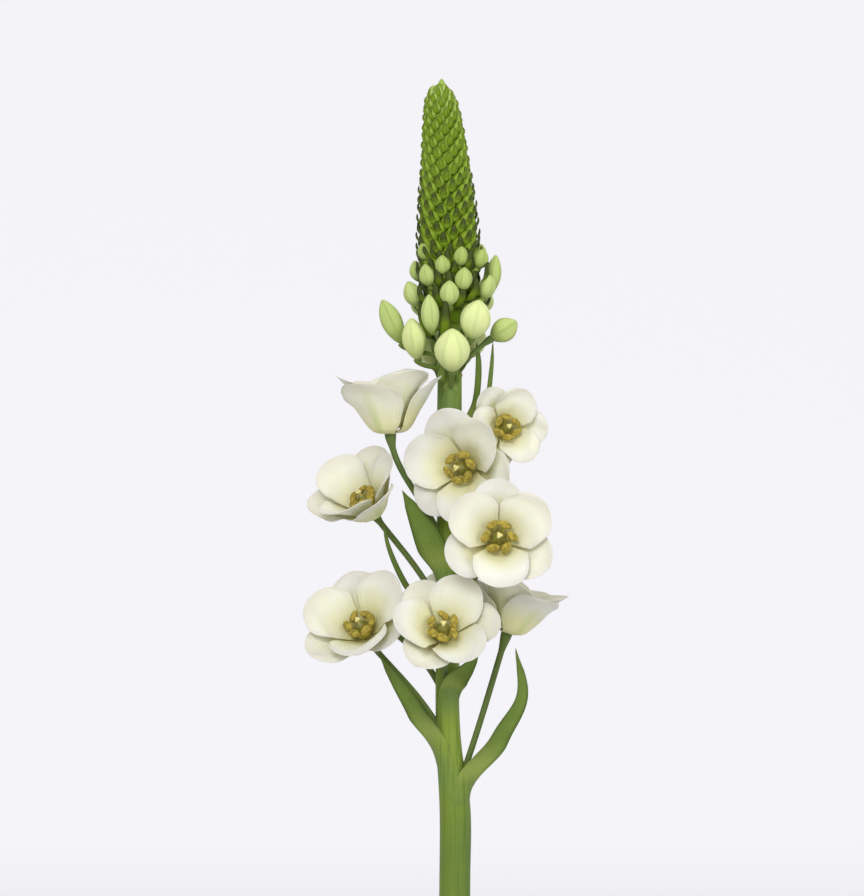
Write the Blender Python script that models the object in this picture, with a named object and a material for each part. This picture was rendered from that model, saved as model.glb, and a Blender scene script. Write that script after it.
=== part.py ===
"""Ornithogalum in vase: one tall flowering stem standing in a plain glass bud vase with water.

Metres, +Z up. The origin is the centre of the vase's foot. The viewer stands on the -Y side,
with +X to the right. A facing is an azimuth, 0 towards the viewer and positive to the right,
and a rise above the horizon.
"""
import math

import bmesh
import bpy
import numpy as np
from mathutils import Matrix, Vector

MM = 0.001
GAP = 0.3 * MM
SEED = 11
GOLDEN_ANGLE = 137.508
SMOOTH_ANGLE = math.radians(50)

# The vase: heights and outer radii of its profile from the foot to the lip
VASE_HEIGHTS = np.array([0.0, 5.0, 30.0, 56.0, 80.0, 100.0, 122.0, 150.0, 176.0, 191.0]) * MM
VASE_RADII = np.array([31.0, 35.0, 41.0, 42.0, 38.2, 31.0, 21.0, 13.8, 13.0, 15.6]) * MM
VASE_HEIGHT = 196.0 * MM
VASE_WALL = 3.0 * MM
VASE_FLOOR = 8.0 * MM
FLOOR_BEVEL = 5.0 * MM
VASE_SIDES = 24
LIP_OUTER_RADIUS = 16.4 * MM
LIP_DROP = 2.2 * MM

# The water
WATER_LEVEL = 100.0 * MM
WATER_CLEARANCE = 0.45 * MM
STEM_CLEARANCE = 0.5 * MM
HOLE_START_DROP = 8.0 * MM

# The stem: heights, sideways and depth offsets of its centre line, and radii
STEM_HEIGHTS = np.array([9.0, 60.0, 120.0, 180.0, 210.0, 233.0, 247.0, 300.0, 350.0, 362.0, 375.7]) * MM
STEM_X = np.array([-9.0, -5.4, -1.8, 0.4, 0.9, 0.8, -0.7, -0.9, -0.8, -0.7, -0.7]) * MM
STEM_Y = np.array([6.0, 3.6, 1.5, 0.3, 0.0, 0.0, 0.0, 0.0, 0.0, 0.0, 0.0]) * MM
STEM_RADII = np.array([4.7, 4.7, 4.7, 4.7, 4.65, 4.6, 3.9, 3.75, 3.7, 3.6, 3.4]) * MM
STEM_SIDES = 10
STEM_CUT_SLOPE = 0.45

# The stalks: how they leave the stem, how strongly their ends steer them, and their ends' flare
STALK_LEAVES_OUT = 0.34
STALK_LEAVES_UP = 0.94
START_PULL = 0.42
END_PULL = 0.3
STALK_FLARE = 1.35
BLOOM_STALK_RADIUS = 0.95 * MM
BUD_STALK_GAP = 0.4 * MM
BUD_STALK_RADIUS = 0.5
BUD_STALK_PER_WIDTH = 0.03

# A bloom in its own frame: the seat is at the origin and it faces +Z
SEAT_RADIUS = 2.3 * MM
SEAT_HEIGHT = 1.5 * MM
TEPAL_THICKNESS = 0.62 * MM
TEPAL_START = 0.8 * MM
INNER_TEPAL_FOOT = 1.1 * MM
OUTER_TEPAL_FOOT = 0.4 * MM
INNER_ROWS = np.array([0.0, 0.3, 0.62, 0.88, 1.0])
OUTER_ROWS = np.array([0.0, 0.34, 0.8, 1.0])
TEPAL_COLUMNS = 2
TEPAL_HALF_WIDTH = 0.455
OUTER_WHORL_GAP = 1.35 * MM
OUTER_WHORL_WIDTH = 0.9
WHORL_HALF_ANGLE = math.radians(56)
WHORL_MIN_RADIUS = 2.6 * MM
LEAN_RANGE = math.radians(4.0)

# Slopes of a bloom's bowl in degrees: at its foot, and at its steepest and its tip in a closed
# bloom with how much each drops in one fully open
FOOT_SLOPE = 19
CUP_STEEPEST = 64
CUP_OPENS = 22
TIP_STEEPEST = 52
TIP_OPENS = 40

# A heart in a bloom of full size: lengths and widths in millimetres
FULL_BLOOM_WIDTH = 30.0
OVARY_LENGTH = 5.6
OVARY_WIDTH = 4.6
STYLE_LINE = ((0.0, 0.0, 4.6), (0.0, 0.0, 7.6))
STYLE_RADII = (0.6, 0.75)
STAMEN_LINE = ((0.9, 1.2), (3.9, 5.0), (4.2, 6.8))
STAMEN_RADII = (0.5, 0.9, 0.45)
CLOSED_STAMEN_SPREAD = 0.74
HEART_FOOT = 1.9 * MM

# The open blooms. Sizes in this table and the next ones are in millimetres, angles in degrees.
# Name, seat (x, y, z), facing azimuth and rise, width across, openness, roll, and the height
# on the stem at which its stalk leaves
BLOOMS = (
    ("bloom_01", (16.4, -0.6, 283.4), 84, 73, 30.0, 0.25, 6, 234.0),
    ("bloom_02", (-2.9, -18.0, 282.8), 2, 32, 32.5, 0.75, 30, 261.0),
    ("bloom_03", (-25.4, -4.3, 282.4), -23, 38, 35.0, 0.65, 20, 248.0),
    ("bloom_04", (13.4, -22.0, 311.6), 2, 12, 33.5, 0.9, 0, 280.0),
    ("bloom_05", (-23.6, -3.6, 319.6), -40, 44, 30.2, 0.34, 4, 285.0),
    ("bloom_06", (5.4, -7.6, 333.2), -28, 0, 35.0, 0.85, 15, 299.0),
    ("bloom_07", (14.8, 1.0, 344.2), 17, 10, 25.0, 0.75, 30, 311.0),
    ("bloom_08", (-18.4, -9.0, 343.0), -80, 86, 30.5, 0.1, -7, 306.0),
    ("bloom_09", (-3.0, 11.0, 286.5), 192, 15, 26.0, 0.7, 0, 256.0),
    ("bloom_10", (-23.0, 8.0, 287.0), -125, 25, 23.0, 0.6, 0, 262.0),
    ("bloom_11", (13.0, 14.0, 310.0), 152, 12, 27.0, 0.8, 0, 278.0),
    ("bloom_12", (2.0, 12.0, 333.5), 190, 10, 27.0, 0.8, 0, 300.0),
    ("bloom_13", (13.5, 8.0, 345.0), 140, 25, 18.0, 0.4, 0, 318.0),
)

# The large buds. Name, centre (x, y, z), facing azimuth and rise, length, width, axil height
BUDS = (
    ("bud_01", (0.0, -10.0, 368.0), 0, 66, 14.1, 10.4, 352.0),
    ("bud_02", (-11.3, -4.6, 371.5), -40, 76, 13.0, 7.4, 360.0),
    ("bud_03", (6.9, -8.6, 377.2), 30, 66, 12.6, 9.4, 362.0),
    ("bud_04", (-18.0, -1.0, 376.8), -90, 66, 14.6, 6.6, 363.0),
    ("bud_05", (15.5, -1.0, 374.3), 90, 34, 9.6, 7.4, 356.0),
    ("bud_06", (-6.6, 8.4, 369.5), 215, 66, 13.0, 9.6, 354.0),
    ("bud_07", (5.8, 9.0, 371.5), 150, 64, 12.5, 9.4, 357.0),
)

# The small buds round the foot of the spike. Centre (x, y, z), facing azimuth and rise, length, width
COLLAR_BUDS = (
    ((-6.5, -8.6, 378.8), -20, 78, 12.2, 5.6),
    ((-0.8, -9.2, 385.0), 0, 68, 8.2, 5.8),
    ((-11.8, -2.6, 385.0), -70, 68, 8.4, 5.4),
    ((10.4, -4.6, 387.0), 60, 72, 8.0, 5.2),
    ((3.4, -8.8, 389.2), 15, 72, 7.6, 5.4),
    ((-7.4, -6.4, 390.4), -40, 72, 7.4, 5.0),
    ((12.4, -0.6, 391.0), 80, 82, 12.0, 4.8),
    ((2.6, -8.6, 396.0), 15, 74, 6.4, 4.4),
    ((8.6, -5.2, 395.4), 50, 72, 6.6, 4.6),
    ((-8.2, -4.0, 397.6), -55, 74, 6.0, 4.2),
    ((-2.8, -8.6, 393.4), -10, 72, 6.4, 4.6),
    ((-9.4, 5.0, 382.0), 245, 68, 8.2, 5.8),
    ((-1.2, 9.8, 382.8), 180, 68, 8.2, 5.8),
    ((9.6, 5.0, 383.0), 120, 66, 8.4, 5.8),
    ((-6.8, 7.4, 390.4), 220, 72, 7.4, 5.2),
    ((4.6, 8.6, 390.4), 155, 72, 7.4, 5.2),
    ((-10.4, 1.6, 392.0), 262, 74, 6.8, 4.8),
    ((-1.4, 8.8, 397.0), 180, 74, 6.2, 4.6),
    ((8.2, 3.8, 397.4), 112, 74, 6.2, 4.4),
)

# The spike of packed buds: heights, envelope radii and core radii
SPIKE_HEIGHTS = np.array([376.0, 383.0, 392.0, 401.0, 409.0, 423.0, 437.0, 444.3, 450.0]) * MM
SPIKE_ENVELOPE = np.array([5.0, 6.4, 8.0, 8.4, 8.1, 7.4, 6.4, 5.3, 1.2]) * MM
SPIKE_CORE = np.array([3.4, 4.6, 5.6, 6.0, 5.8, 5.2, 4.3, 3.4, 0.5]) * MM
SPIKE_X = np.array([-0.7, -0.8, -1.0, -1.2, -1.5, -2.1, -3.0, -3.5, -3.0]) * MM
SPIKE_SIDES = 8
SPIKE_BUDS = 60
SPIKE_FIRST_BUD = 381.0 * MM
SPIKE_LAST_BUD = 445.5 * MM
LOWEST_BUD_WIDTH = 5.8 * MM
TOP_BUD_WIDTH = 3.1 * MM
BUD_SLIMNESS = 1.65
LOWEST_BUD_RISE = 58
TOP_BUD_RISE = 84
COLLAR_STALK_RADII = (0.8 * MM, 0.9 * MM)

# Bracts that show: name of the bract, centre line points and half widths, and the way it faces
BRACTS = (
    ("left", ((-3, 0, 242), (-6.8, -1.4, 253), (-11, -2.4, 261.5), (-16, -2.4, 269), (-22, -2.2, 277.4)),
     (2.8, 3.8, 3.3, 2.3, 0.4), (-0.6, -0.8, -0.2)),
    ("right", ((3.2, 0, 231), (8.2, -1, 242), (14.4, -2, 253.5), (20.6, -2, 265), (19, -2.5, 279.4)),
     (2.6, 4.0, 3.4, 2.2, 0.4), (0.55, -0.82, -0.2)),
    ("front", ((-1, -2, 264), (1.0, -5.8, 269.5), (4.4, -7.8, 273.2), (7.9, -8.4, 277.4)),
     (3.0, 3.6, 2.2, 0.4), (0.1, -1.0, -0.2)),
    ("middle", ((0.5, -1, 297), (-4.6, -5.5, 307), (-8.8, -6, 316), (-15.0, -6, 326.5)),
     (2.6, 4.4, 3.6, 0.4), (-0.3, -0.95, -0.1)),
    ("thin left",
     ((-3, -1, 284), (-9.4, -3, 292), (-14.6, -4, 300), (-18.6, -4.4, 309), (-20.6, -4.6, 317)),
     (1.4, 1.5, 1.3, 1.0, 0.35), (-0.7, -0.7, -0.3)),
    ("inner right", ((1, 1, 338), (5, 2.6, 346), (7.2, 3.2, 355), (7.8, 3.2, 364), (7.4, 3, 371)),
     (1.2, 1.2, 1.2, 1.1, 0.35), (0.6, -0.8, -0.1)),
    ("outer right", ((1.4, 1.2, 334), (7, 3.4, 342), (10.2, 4.2, 352), (11.6, 4, 362), (12.4, 3.6, 371)),
     (1.2, 1.1, 1.0, 0.9, 0.35), (0.7, -0.7, -0.1)),
)
BRACT_THICKNESS = 0.8 * MM
BRACT_HOLLOW = 0.35

# The short bract of a bloom: distances out from the stem and up, and half widths. Some blooms
# have a large bract instead, or one that no side shows
SMALL_BRACT_LINE = ((1.5, 0.0), (5.6, 6.0), (8.8, 13.0))
SMALL_BRACT_HALF_WIDTHS = (2.0, 2.0, 0.4)
NO_SHORT_BRACT = ("bloom_01", "bloom_02", "bloom_03", "bloom_05", "bloom_10")

STEM_RING_HEIGHTS = np.sort(np.concatenate([STEM_HEIGHTS, (STEM_HEIGHTS[1:] + STEM_HEIGHTS[:-1]) / 2]))

GLASS = ("clear_glass", (0.86, 0.93, 0.92, 1.0), 0.03)
WATER = ("water", (0.80, 0.88, 0.88, 1.0), 0.02)
STEM_GREEN = ("stem_green", (0.16, 0.26, 0.06, 1.0), 0.45)
SPIKE_GREEN = ("spike_green", (0.15, 0.26, 0.03, 1.0), 0.5)
TEPAL_WHITE = ("tepal_white", (0.86, 0.86, 0.80, 1.0), 0.5)
HEART_OLIVE = ("heart_olive", (0.19, 0.17, 0.03, 1.0), 0.5)
BUD_CREAM = ("bud_cream", (0.62, 0.72, 0.38, 1.0), 0.45)


def clear_scene():
    """Removes every object that the scene starts with."""
    for thing in list(bpy.data.objects):
        bpy.data.objects.remove(thing)


def material(finish):
    """A plain Principled material for a (name, colour, roughness) finish, made once."""
    name, colour, roughness = finish
    made = bpy.data.materials.get(name)
    if made is None:
        made = bpy.data.materials.new(name)
        made.use_nodes = True
        shader = made.node_tree.nodes["Principled BSDF"]
        shader.inputs["Base Color"].default_value = colour
        shader.inputs["Roughness"].default_value = roughness
        shader.inputs["Metallic"].default_value = 0.0
    return made


def through(knots, values, at):
    """A smooth curve through the values at the knots (cubic, with finite-difference slopes)."""
    slopes = np.gradient(values, knots)
    at = np.clip(at, knots[0], knots[-1])
    left = np.clip(np.searchsorted(knots, at) - 1, 0, len(knots) - 2)
    span = knots[left + 1] - knots[left]
    t = (at - knots[left]) / span
    start = values[left] * (2 * t**3 - 3 * t**2 + 1) + span * slopes[left] * (t**3 - 2 * t**2 + t)
    end = values[left + 1] * (3 * t**2 - 2 * t**3) + span * slopes[left + 1] * (t**3 - t**2)
    return start + end


def ease(t):
    """Rises smoothly from 0 to 1 as t does."""
    t = np.clip(t, 0.0, 1.0)
    return t * t * (3 - 2 * t)


def facing(azimuth, rise):
    """The unit vector of an azimuth and a rise in degrees."""
    turn = math.radians(azimuth)
    lift = math.radians(rise)
    return Vector((math.sin(turn) * math.cos(lift), -math.cos(turn) * math.cos(lift), math.sin(lift)))


def place_of(origin, direction, roll=0.0):
    """The matrix that puts a local origin there, with local +Z along the direction."""
    turned = direction.to_track_quat("Z", "Y").to_matrix().to_4x4()
    return Matrix.Translation(origin) @ turned @ Matrix.Rotation(roll, 4, "Z")


def closed_mesh(name, points, faces):
    """An object of the points and faces, with every face turned outwards."""
    mesh = bpy.data.meshes.new(name)
    mesh.from_pydata([tuple(point) for point in points], [], faces)
    body = bmesh.new()
    body.from_mesh(mesh)
    bmesh.ops.recalc_face_normals(body, faces=body.faces[:])
    body.to_mesh(mesh)
    body.free()
    thing = bpy.data.objects.new(name, mesh)
    bpy.context.scene.collection.objects.link(thing)
    return thing


def lofted(name, rings, tips=None):
    """A solid through rings of points; its ends are flat caps, or run to two tips."""
    count, sides = rings.shape[:2]
    points = list(rings.reshape(-1, 3))
    faces = []
    for row in range(count - 1):
        for side in range(sides):
            here = row * sides + side
            beside = row * sides + (side + 1) % sides
            faces.append((here, beside, beside + sides, here + sides))
    first = list(range(sides))
    last = [(count - 1) * sides + side for side in range(sides)]
    if tips is None:
        return closed_mesh(name, points, faces + [first, last])
    points += list(tips)
    for ring, tip in ((first, len(points) - 2), (last, len(points) - 1)):
        faces += [(ring[side], ring[(side + 1) % sides], tip) for side in range(sides)]
    return closed_mesh(name, points, faces)


def tube_rings(path, radii, sides, end_way=None):
    """Rings of a round tube along a path that lies in one plane, or nearly."""
    along = np.gradient(path, axis=0)
    if end_way is not None:
        along[-1] = end_way
    along /= np.linalg.norm(along, axis=1)[:, None]
    across = np.cross(along[0], along[-1])
    if np.linalg.norm(across) < 0.02:
        across = np.cross(along[0], (0.0, 1.0, 0.02))
    across = across / np.linalg.norm(across)
    upright = np.cross(along, across)
    upright /= np.linalg.norm(upright, axis=1)[:, None]
    turn = np.arange(sides) * 2 * math.pi / sides
    circle = upright[:, None] * np.cos(turn)[None, :, None] + across * np.sin(turn)[None, :, None]
    return path[:, None] + circle * np.asarray(radii)[:, None, None]


def tube(name, path, radii, sides, end_way=None):
    """A round tube with flat ends along a path; its last end may be squared to a way."""
    return lofted(name, tube_rings(np.asarray(path, dtype=float), radii, sides, end_way))


def bent_path(start, start_way, end, end_way, count):
    """Points of a cubic curve that leaves start along one way and comes in to end along another."""
    start, start_way, end, end_way = (np.array(p, dtype=float) for p in (start, start_way, end, end_way))
    reach = np.linalg.norm(end - start)
    first = start + start_way * reach * START_PULL
    second = end - end_way * reach * END_PULL
    t = np.linspace(0.0, 1.0, count)[:, None]
    inner = 3 * (1 - t) ** 2 * t * first + 3 * (1 - t) * t**2 * second
    return (1 - t) ** 3 * start + inner + t**3 * end


def egg(name, length, width, sides, rings=3, blunt=0.55):
    """An egg standing on local z = 0, widest at the blunt share of its length."""
    share = np.linspace(0.0, 1.0, rings + 2)[1:-1]
    bulge = np.where(share < blunt, share / blunt, (1 - share) / (1 - blunt))
    radii = width / 2 * np.sin(np.clip(bulge, 0, 1) * math.pi / 2) ** 0.7
    turn = np.arange(sides) * 2 * math.pi / sides
    circle = np.stack([np.cos(turn), np.sin(turn), np.zeros(sides)], axis=1)
    rings = circle[None] * radii[:, None, None]
    rings[:, :, 2] = (share * length)[:, None]
    return lofted(name, rings, tips=((0.0, 0.0, 0.0), (0.0, 0.0, length)))


def blade(name, grid, thickness):
    """A thin solid on both sides of a grid of points, split into triangles alike on both faces."""
    along = np.gradient(grid, axis=0)
    across = np.gradient(grid, axis=1)
    normal = np.cross(across, along)
    normal /= np.linalg.norm(normal, axis=2)[:, :, None]
    rows, columns = grid.shape[:2]
    count = rows * columns
    points = np.concatenate([grid + normal * thickness / 2, grid - normal * thickness / 2]).reshape(-1, 3)
    faces = []
    for row in range(rows - 1):
        for column in range(columns - 1):
            a = row * columns + column
            b, c, d = a + 1, a + columns, a + columns + 1
            for low, middle, high in ((a, b, d), (a, d, c)):
                faces.append((low, middle, high))
                faces.append((high + count, middle + count, low + count))
    for a, b in edge_pairs(rows, columns):
        faces.append((a, b, b + count, a + count))
    return closed_mesh(name, points, faces)


def edge_pairs(rows, columns):
    """Neighbouring indices right round the border of a grid."""
    border = [column for column in range(columns)]
    border += [row * columns + columns - 1 for row in range(1, rows)]
    border += [(rows - 1) * columns + column for column in range(columns - 2, -1, -1)]
    border += [row * columns for row in range(rows - 2, 0, -1)]
    return list(zip(border, border[1:] + border[:1]))


def fuse(name, pieces, finish):
    """One closed body from overlapping pieces, by a Boolean union on a collection."""
    whole = pieces[0]
    others = bpy.data.collections.new(name + "_pieces")
    for piece in pieces[1:]:
        others.objects.link(piece)
    join = whole.modifiers.new("join", "BOOLEAN")
    join.operation = "UNION"
    join.operand_type = "COLLECTION"
    join.collection = others
    join.solver = "MANIFOLD"
    bpy.context.view_layer.update()
    seen = whole.evaluated_get(bpy.context.evaluated_depsgraph_get())
    joined = bpy.data.meshes.new_from_object(seen)
    whole.modifiers.clear()
    whole.data = joined
    for piece in pieces[1:]:
        bpy.data.objects.remove(piece)
    bpy.data.collections.remove(others)
    return finished(whole, name, finish)


def finished(thing, name, finish):
    """Names an object, shades it smooth and gives it its material."""
    thing.name = name
    thing.data.name = name
    thing.data.materials.clear()
    thing.data.materials.append(material(finish))
    thing.data.shade_smooth()
    thing.data.set_sharp_from_angle(angle=SMOOTH_ANGLE)
    return thing


def turned(name, profile, sides):
    """A solid of revolution about Z from a profile that starts and ends on the axis."""
    body = bmesh.new()
    points = [body.verts.new((radius, 0.0, height)) for radius, height in profile]
    edges = [body.edges.new(pair) for pair in zip(points, points[1:])]
    bmesh.ops.spin(body, geom=points + edges, cent=(0, 0, 0), axis=(0, 0, 1),
                   angle=2 * math.pi, steps=sides, use_merge=True)
    bmesh.ops.remove_doubles(body, verts=body.verts[:], dist=0.00001)
    bmesh.ops.recalc_face_normals(body, faces=body.faces[:])
    mesh = bpy.data.meshes.new(name)
    body.to_mesh(mesh)
    body.free()
    thing = bpy.data.objects.new(name, mesh)
    bpy.context.scene.collection.objects.link(thing)
    return thing


def vase_radius(height):
    """The vase's outer radius at a height."""
    return through(VASE_HEIGHTS, VASE_RADII, height)


def vase():
    """The glass bud vase: foot, belly, narrow neck and a rounded lip, open at the top."""
    outside = [(vase_radius(height), height) for height in VASE_HEIGHTS]
    lip = [(LIP_OUTER_RADIUS, VASE_HEIGHT - LIP_DROP),
           (LIP_OUTER_RADIUS - VASE_WALL * 0.35, VASE_HEIGHT),
           (LIP_OUTER_RADIUS - VASE_WALL * 0.85, VASE_HEIGHT - 0.4 * MM)]
    inner_heights = [height for height in VASE_HEIGHTS[::-1] if height > VASE_FLOOR + FLOOR_BEVEL]
    inside = [(vase_radius(height) - VASE_WALL, height) for height in inner_heights]
    floor = [(inside[-1][0] - FLOOR_BEVEL, VASE_FLOOR), (0.0, VASE_FLOOR)]
    profile = [(0.0, 0.0)] + outside + lip + inside + floor
    return finished(turned("vase", profile, VASE_SIDES), "vase", GLASS)


def stem_centre(height):
    """A point on the stem's centre line."""
    x = through(STEM_HEIGHTS, STEM_X, height)
    y = through(STEM_HEIGHTS, STEM_Y, height)
    return np.stack([x, y, height + 0 * x], axis=-1)


def stem_rings(extra, heights):
    """Level rings of the stem's outline at the heights, made wider by extra."""
    radii = through(STEM_HEIGHTS, STEM_RADII, heights) + extra
    turn = np.arange(STEM_SIDES) * 2 * math.pi / STEM_SIDES
    circle = np.stack([np.cos(turn), np.sin(turn), np.zeros(STEM_SIDES)], axis=1)
    return stem_centre(heights)[:, None] + circle[None] * radii[:, None, None]


def water():
    """The water in the vase, with a plain hole that the stem stands in."""
    low = VASE_FLOOR + GAP
    heights = [h for h in VASE_HEIGHTS if VASE_FLOOR + FLOOR_BEVEL < h <= WATER_LEVEL]
    side = [(vase_radius(height) - VASE_WALL - WATER_CLEARANCE, height) for height in heights]
    profile = [(0.0, low), (side[0][0] - FLOOR_BEVEL, low)] + side + [(0.0, side[-1][1])]
    body = turned("water", profile, VASE_SIDES)
    wet = STEM_RING_HEIGHTS[:np.searchsorted(STEM_RING_HEIGHTS, WATER_LEVEL) + 1]
    rings = stem_rings(STEM_CLEARANCE, wet)
    hole = lofted("stem_hole", np.concatenate([rings[:1] - (0.0, 0.0, HOLE_START_DROP), rings]))
    cut = body.modifiers.new("hole", "BOOLEAN")
    cut.operation = "DIFFERENCE"
    cut.solver = "EXACT"
    cut.object = hole
    bpy.context.view_layer.update()
    seen = body.evaluated_get(bpy.context.evaluated_depsgraph_get())
    bored = bpy.data.meshes.new_from_object(seen)
    body.modifiers.clear()
    body.data = bored
    bpy.data.objects.remove(hole)
    return finished(body, "water", WATER)


def stem_axis():
    """The stem's own axis, from its slanting cut in the water to the foot of the bud spike."""
    rings = stem_rings(0.0, STEM_RING_HEIGHTS)
    slant = (rings[0, :, 0] - rings[0, :, 0].min()) * STEM_CUT_SLOPE
    rings[0, :, 2] += slant
    return lofted("axis", rings)


def pedicel(name, axil, end, way, radius, sides, count):
    """A flower stalk that leaves the stem at the axil height and comes in along a way."""
    start = stem_centre(np.array(axil))
    outward = np.array([end[0] - start[0], end[1] - start[1], 0.0])
    outward /= max(np.linalg.norm(outward), 1e-6)
    leave = outward * STALK_LEAVES_OUT + np.array([0.0, 0.0, STALK_LEAVES_UP])
    path = bent_path(start, leave, end, way, count)
    radii = np.full(count, radius)
    radii[-1] = radius * STALK_FLARE
    return tube(name, path, radii, sides, way)


def bloom_pedicels():
    """The stalk of every bloom, ending just under the bloom's seat."""
    stalks = []
    for name, seat, azimuth, rise, _, _, _, axil in BLOOMS:
        way = facing(azimuth, rise)
        end = Vector(seat) * MM - way * GAP
        stalks.append(pedicel(name + "_stalk", axil * MM, end, way, BLOOM_STALK_RADIUS, 5, 6))
    return stalks


def bud_foot(centre, azimuth, rise, length):
    """Where a bud's base is, from its centre."""
    return Vector(centre) * MM - facing(azimuth, rise) * length * MM / 2


def bud_pedicels():
    """The stalk of every large bud, ending just under it."""
    stalks = []
    for name, centre, azimuth, rise, length, width, axil in BUDS:
        way = facing(azimuth, rise)
        end = bud_foot(centre, azimuth, rise, length) - way * BUD_STALK_GAP
        radius = (BUD_STALK_RADIUS + BUD_STALK_PER_WIDTH * width) * MM
        stalks.append(pedicel(name + "_stalk", axil * MM, end, way, radius, 4, 5))
    return stalks


def bract_blade(name, line, half_widths, outward, count=7):
    """A long pointed bract along a centre line, hollow on the side that looks at the stem."""
    knots = np.linspace(0.0, 1.0, len(line))
    rows = np.linspace(0.0, 1.0, count)
    line = np.array(line, dtype=float)
    centre = np.stack([through(knots, line[:, axis], rows) for axis in range(3)], axis=1)
    widths = through(knots, np.array(half_widths, dtype=float), rows)
    along = np.gradient(centre, axis=0)
    side = np.cross(along, np.array(outward))
    side /= np.linalg.norm(side, axis=1)[:, None]
    back = np.cross(side, along)
    back /= np.linalg.norm(back, axis=1)[:, None]
    share = np.linspace(-1.0, 1.0, 3)
    grid = centre[:, None] + side[:, None] * (share[None, :, None] * widths[:, None, None])
    grid = grid + back[:, None] * (BRACT_HOLLOW * share[None, :, None] ** 2 * widths[:, None, None])
    return blade(name, grid * MM, BRACT_THICKNESS)


def small_bract(name, axil, end):
    """A short bract at an axil, on the outer side of the stalk that grows there."""
    foot = stem_centre(np.array(axil - 1.5 * MM)) / MM
    out = np.array([end[0] / MM - foot[0], end[1] / MM - foot[1], 0.0])
    out /= max(np.linalg.norm(out), 1e-6)
    line = [foot + out * reach + np.array([0.0, 0.0, lift]) for reach, lift in SMALL_BRACT_LINE]
    return bract_blade(name, line, SMALL_BRACT_HALF_WIDTHS, tuple(out), 5)


def bracts():
    """The large bracts that show, and a short one under each bloom that needs one."""
    blades = [bract_blade(name, line, widths, outward) for name, line, widths, outward in BRACTS]
    for name, seat, _, _, _, _, _, axil in BLOOMS:
        if name not in NO_SHORT_BRACT:
            blades.append(small_bract(name + "_bract", axil * MM, np.array(seat) * MM))
    return blades


def flower_stem():
    """The stem with every stalk and bract that grows from it."""
    return fuse("flower_stem", [stem_axis()] + bloom_pedicels() + bud_pedicels() + bracts(), STEM_GREEN)


def bowl_profile(openness, lean, share):
    """Radius and height of a tepal's centre line, per unit of its length, at shares of it.

    The line's slope rises from flat at the seat to its steepest at three tenths of its length,
    and falls again towards the tip.
    """
    steepest = CUP_STEEPEST - CUP_OPENS * openness
    tip = TIP_STEEPEST - TIP_OPENS * openness
    fine = np.linspace(0.0, 1.0, 81)
    slope = FOOT_SLOPE + (steepest - FOOT_SLOPE) * ease(fine / 0.3)
    slope = slope + (tip - steepest) * ease((fine - 0.3) / 0.7)
    slope = np.radians(slope) + lean * ease(fine / 0.25)
    step = fine[1]
    radius = np.concatenate([[0.0], np.cumsum((np.cos(slope[1:]) + np.cos(slope[:-1])) / 2 * step)])
    height = np.concatenate([[0.0], np.cumsum((np.sin(slope[1:]) + np.sin(slope[:-1])) / 2 * step)])
    return np.interp(share, fine, radius), np.interp(share, fine, height), np.interp(share, fine, slope)


def tepal_width(share):
    """Half width of a tepal at shares of its length, 1 at its widest."""
    lower = 0.14 + 0.86 * np.sin(np.clip(share / 0.62, 0, 1) * math.pi / 2) ** 1.2
    upper = np.sqrt(np.clip(1 - (np.clip(share - 0.62, 0, 1) / 0.38) ** 3, 0.14, 1))
    return np.minimum(lower, upper)


def tepal_length(width, openness):
    """The length that gives a bloom its width across."""
    radius, _, _ = bowl_profile(openness, 0.0, np.array([1.0]))
    return (width / 2 - TEPAL_START) / radius[0]


def tepal_grid(length, openness, lean, turn, outer):
    """Points of one tepal on a bowl of revolution; the outer whorl's bowl lies outside the inner's."""
    rows = OUTER_ROWS if outer else INNER_ROWS
    radius, height, slope = bowl_profile(openness, lean, rows)
    drop = OUTER_WHORL_GAP * ease(rows / 0.2) if outer else 0.0
    radius = TEPAL_START + radius * length + drop * np.sin(slope)
    height = (OUTER_TEPAL_FOOT if outer else INNER_TEPAL_FOOT) + height * length - drop * np.cos(slope)
    half = tepal_width(rows) * TEPAL_HALF_WIDTH * length * (OUTER_WHORL_WIDTH if outer else 1.0)
    half_angle = np.minimum(half / np.maximum(radius, WHORL_MIN_RADIUS), WHORL_HALF_ANGLE)
    share = np.linspace(-1.0, 1.0, TEPAL_COLUMNS + 1)
    angle = turn + share[None] * half_angle[:, None]
    flat = radius[:, None]
    return np.stack([flat * np.cos(angle), flat * np.sin(angle), height[:, None] + 0 * angle], axis=2)


def bloom_tepals(name, place, width, openness, rng):
    """Three outer and three inner tepals on their seat, as one body."""
    length = tepal_length(width * MM, openness)
    pieces = [tube(name + "_seat", [(0, 0, 0), (0, 0, SEAT_HEIGHT)], [SEAT_RADIUS * 0.75, SEAT_RADIUS], 6)]
    for number in range(6):
        outer = number % 2 == 0
        lean = rng.uniform(0.0, LEAN_RANGE) * (-1 if outer else 1)
        turn = math.radians(90 + 60 * number)
        grid = tepal_grid(length, openness, lean, turn, outer)
        pieces.append(blade(f"{name}_tepal_{number}", grid, TEPAL_THICKNESS))
    body = fuse(name + "_tepals", pieces, TEPAL_WHITE)
    body.matrix_world = place
    return body


def stamen(name, turn, size, spread):
    """A filament that leans outwards and widens into its anther."""
    line = np.array(STAMEN_LINE) * MM * size
    reach = line[:, 0] * spread
    path = np.stack([reach * math.cos(turn), reach * math.sin(turn), line[:, 1]], axis=1)
    return tube(name, path, np.array(STAMEN_RADII) * MM * size, 3)


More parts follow.
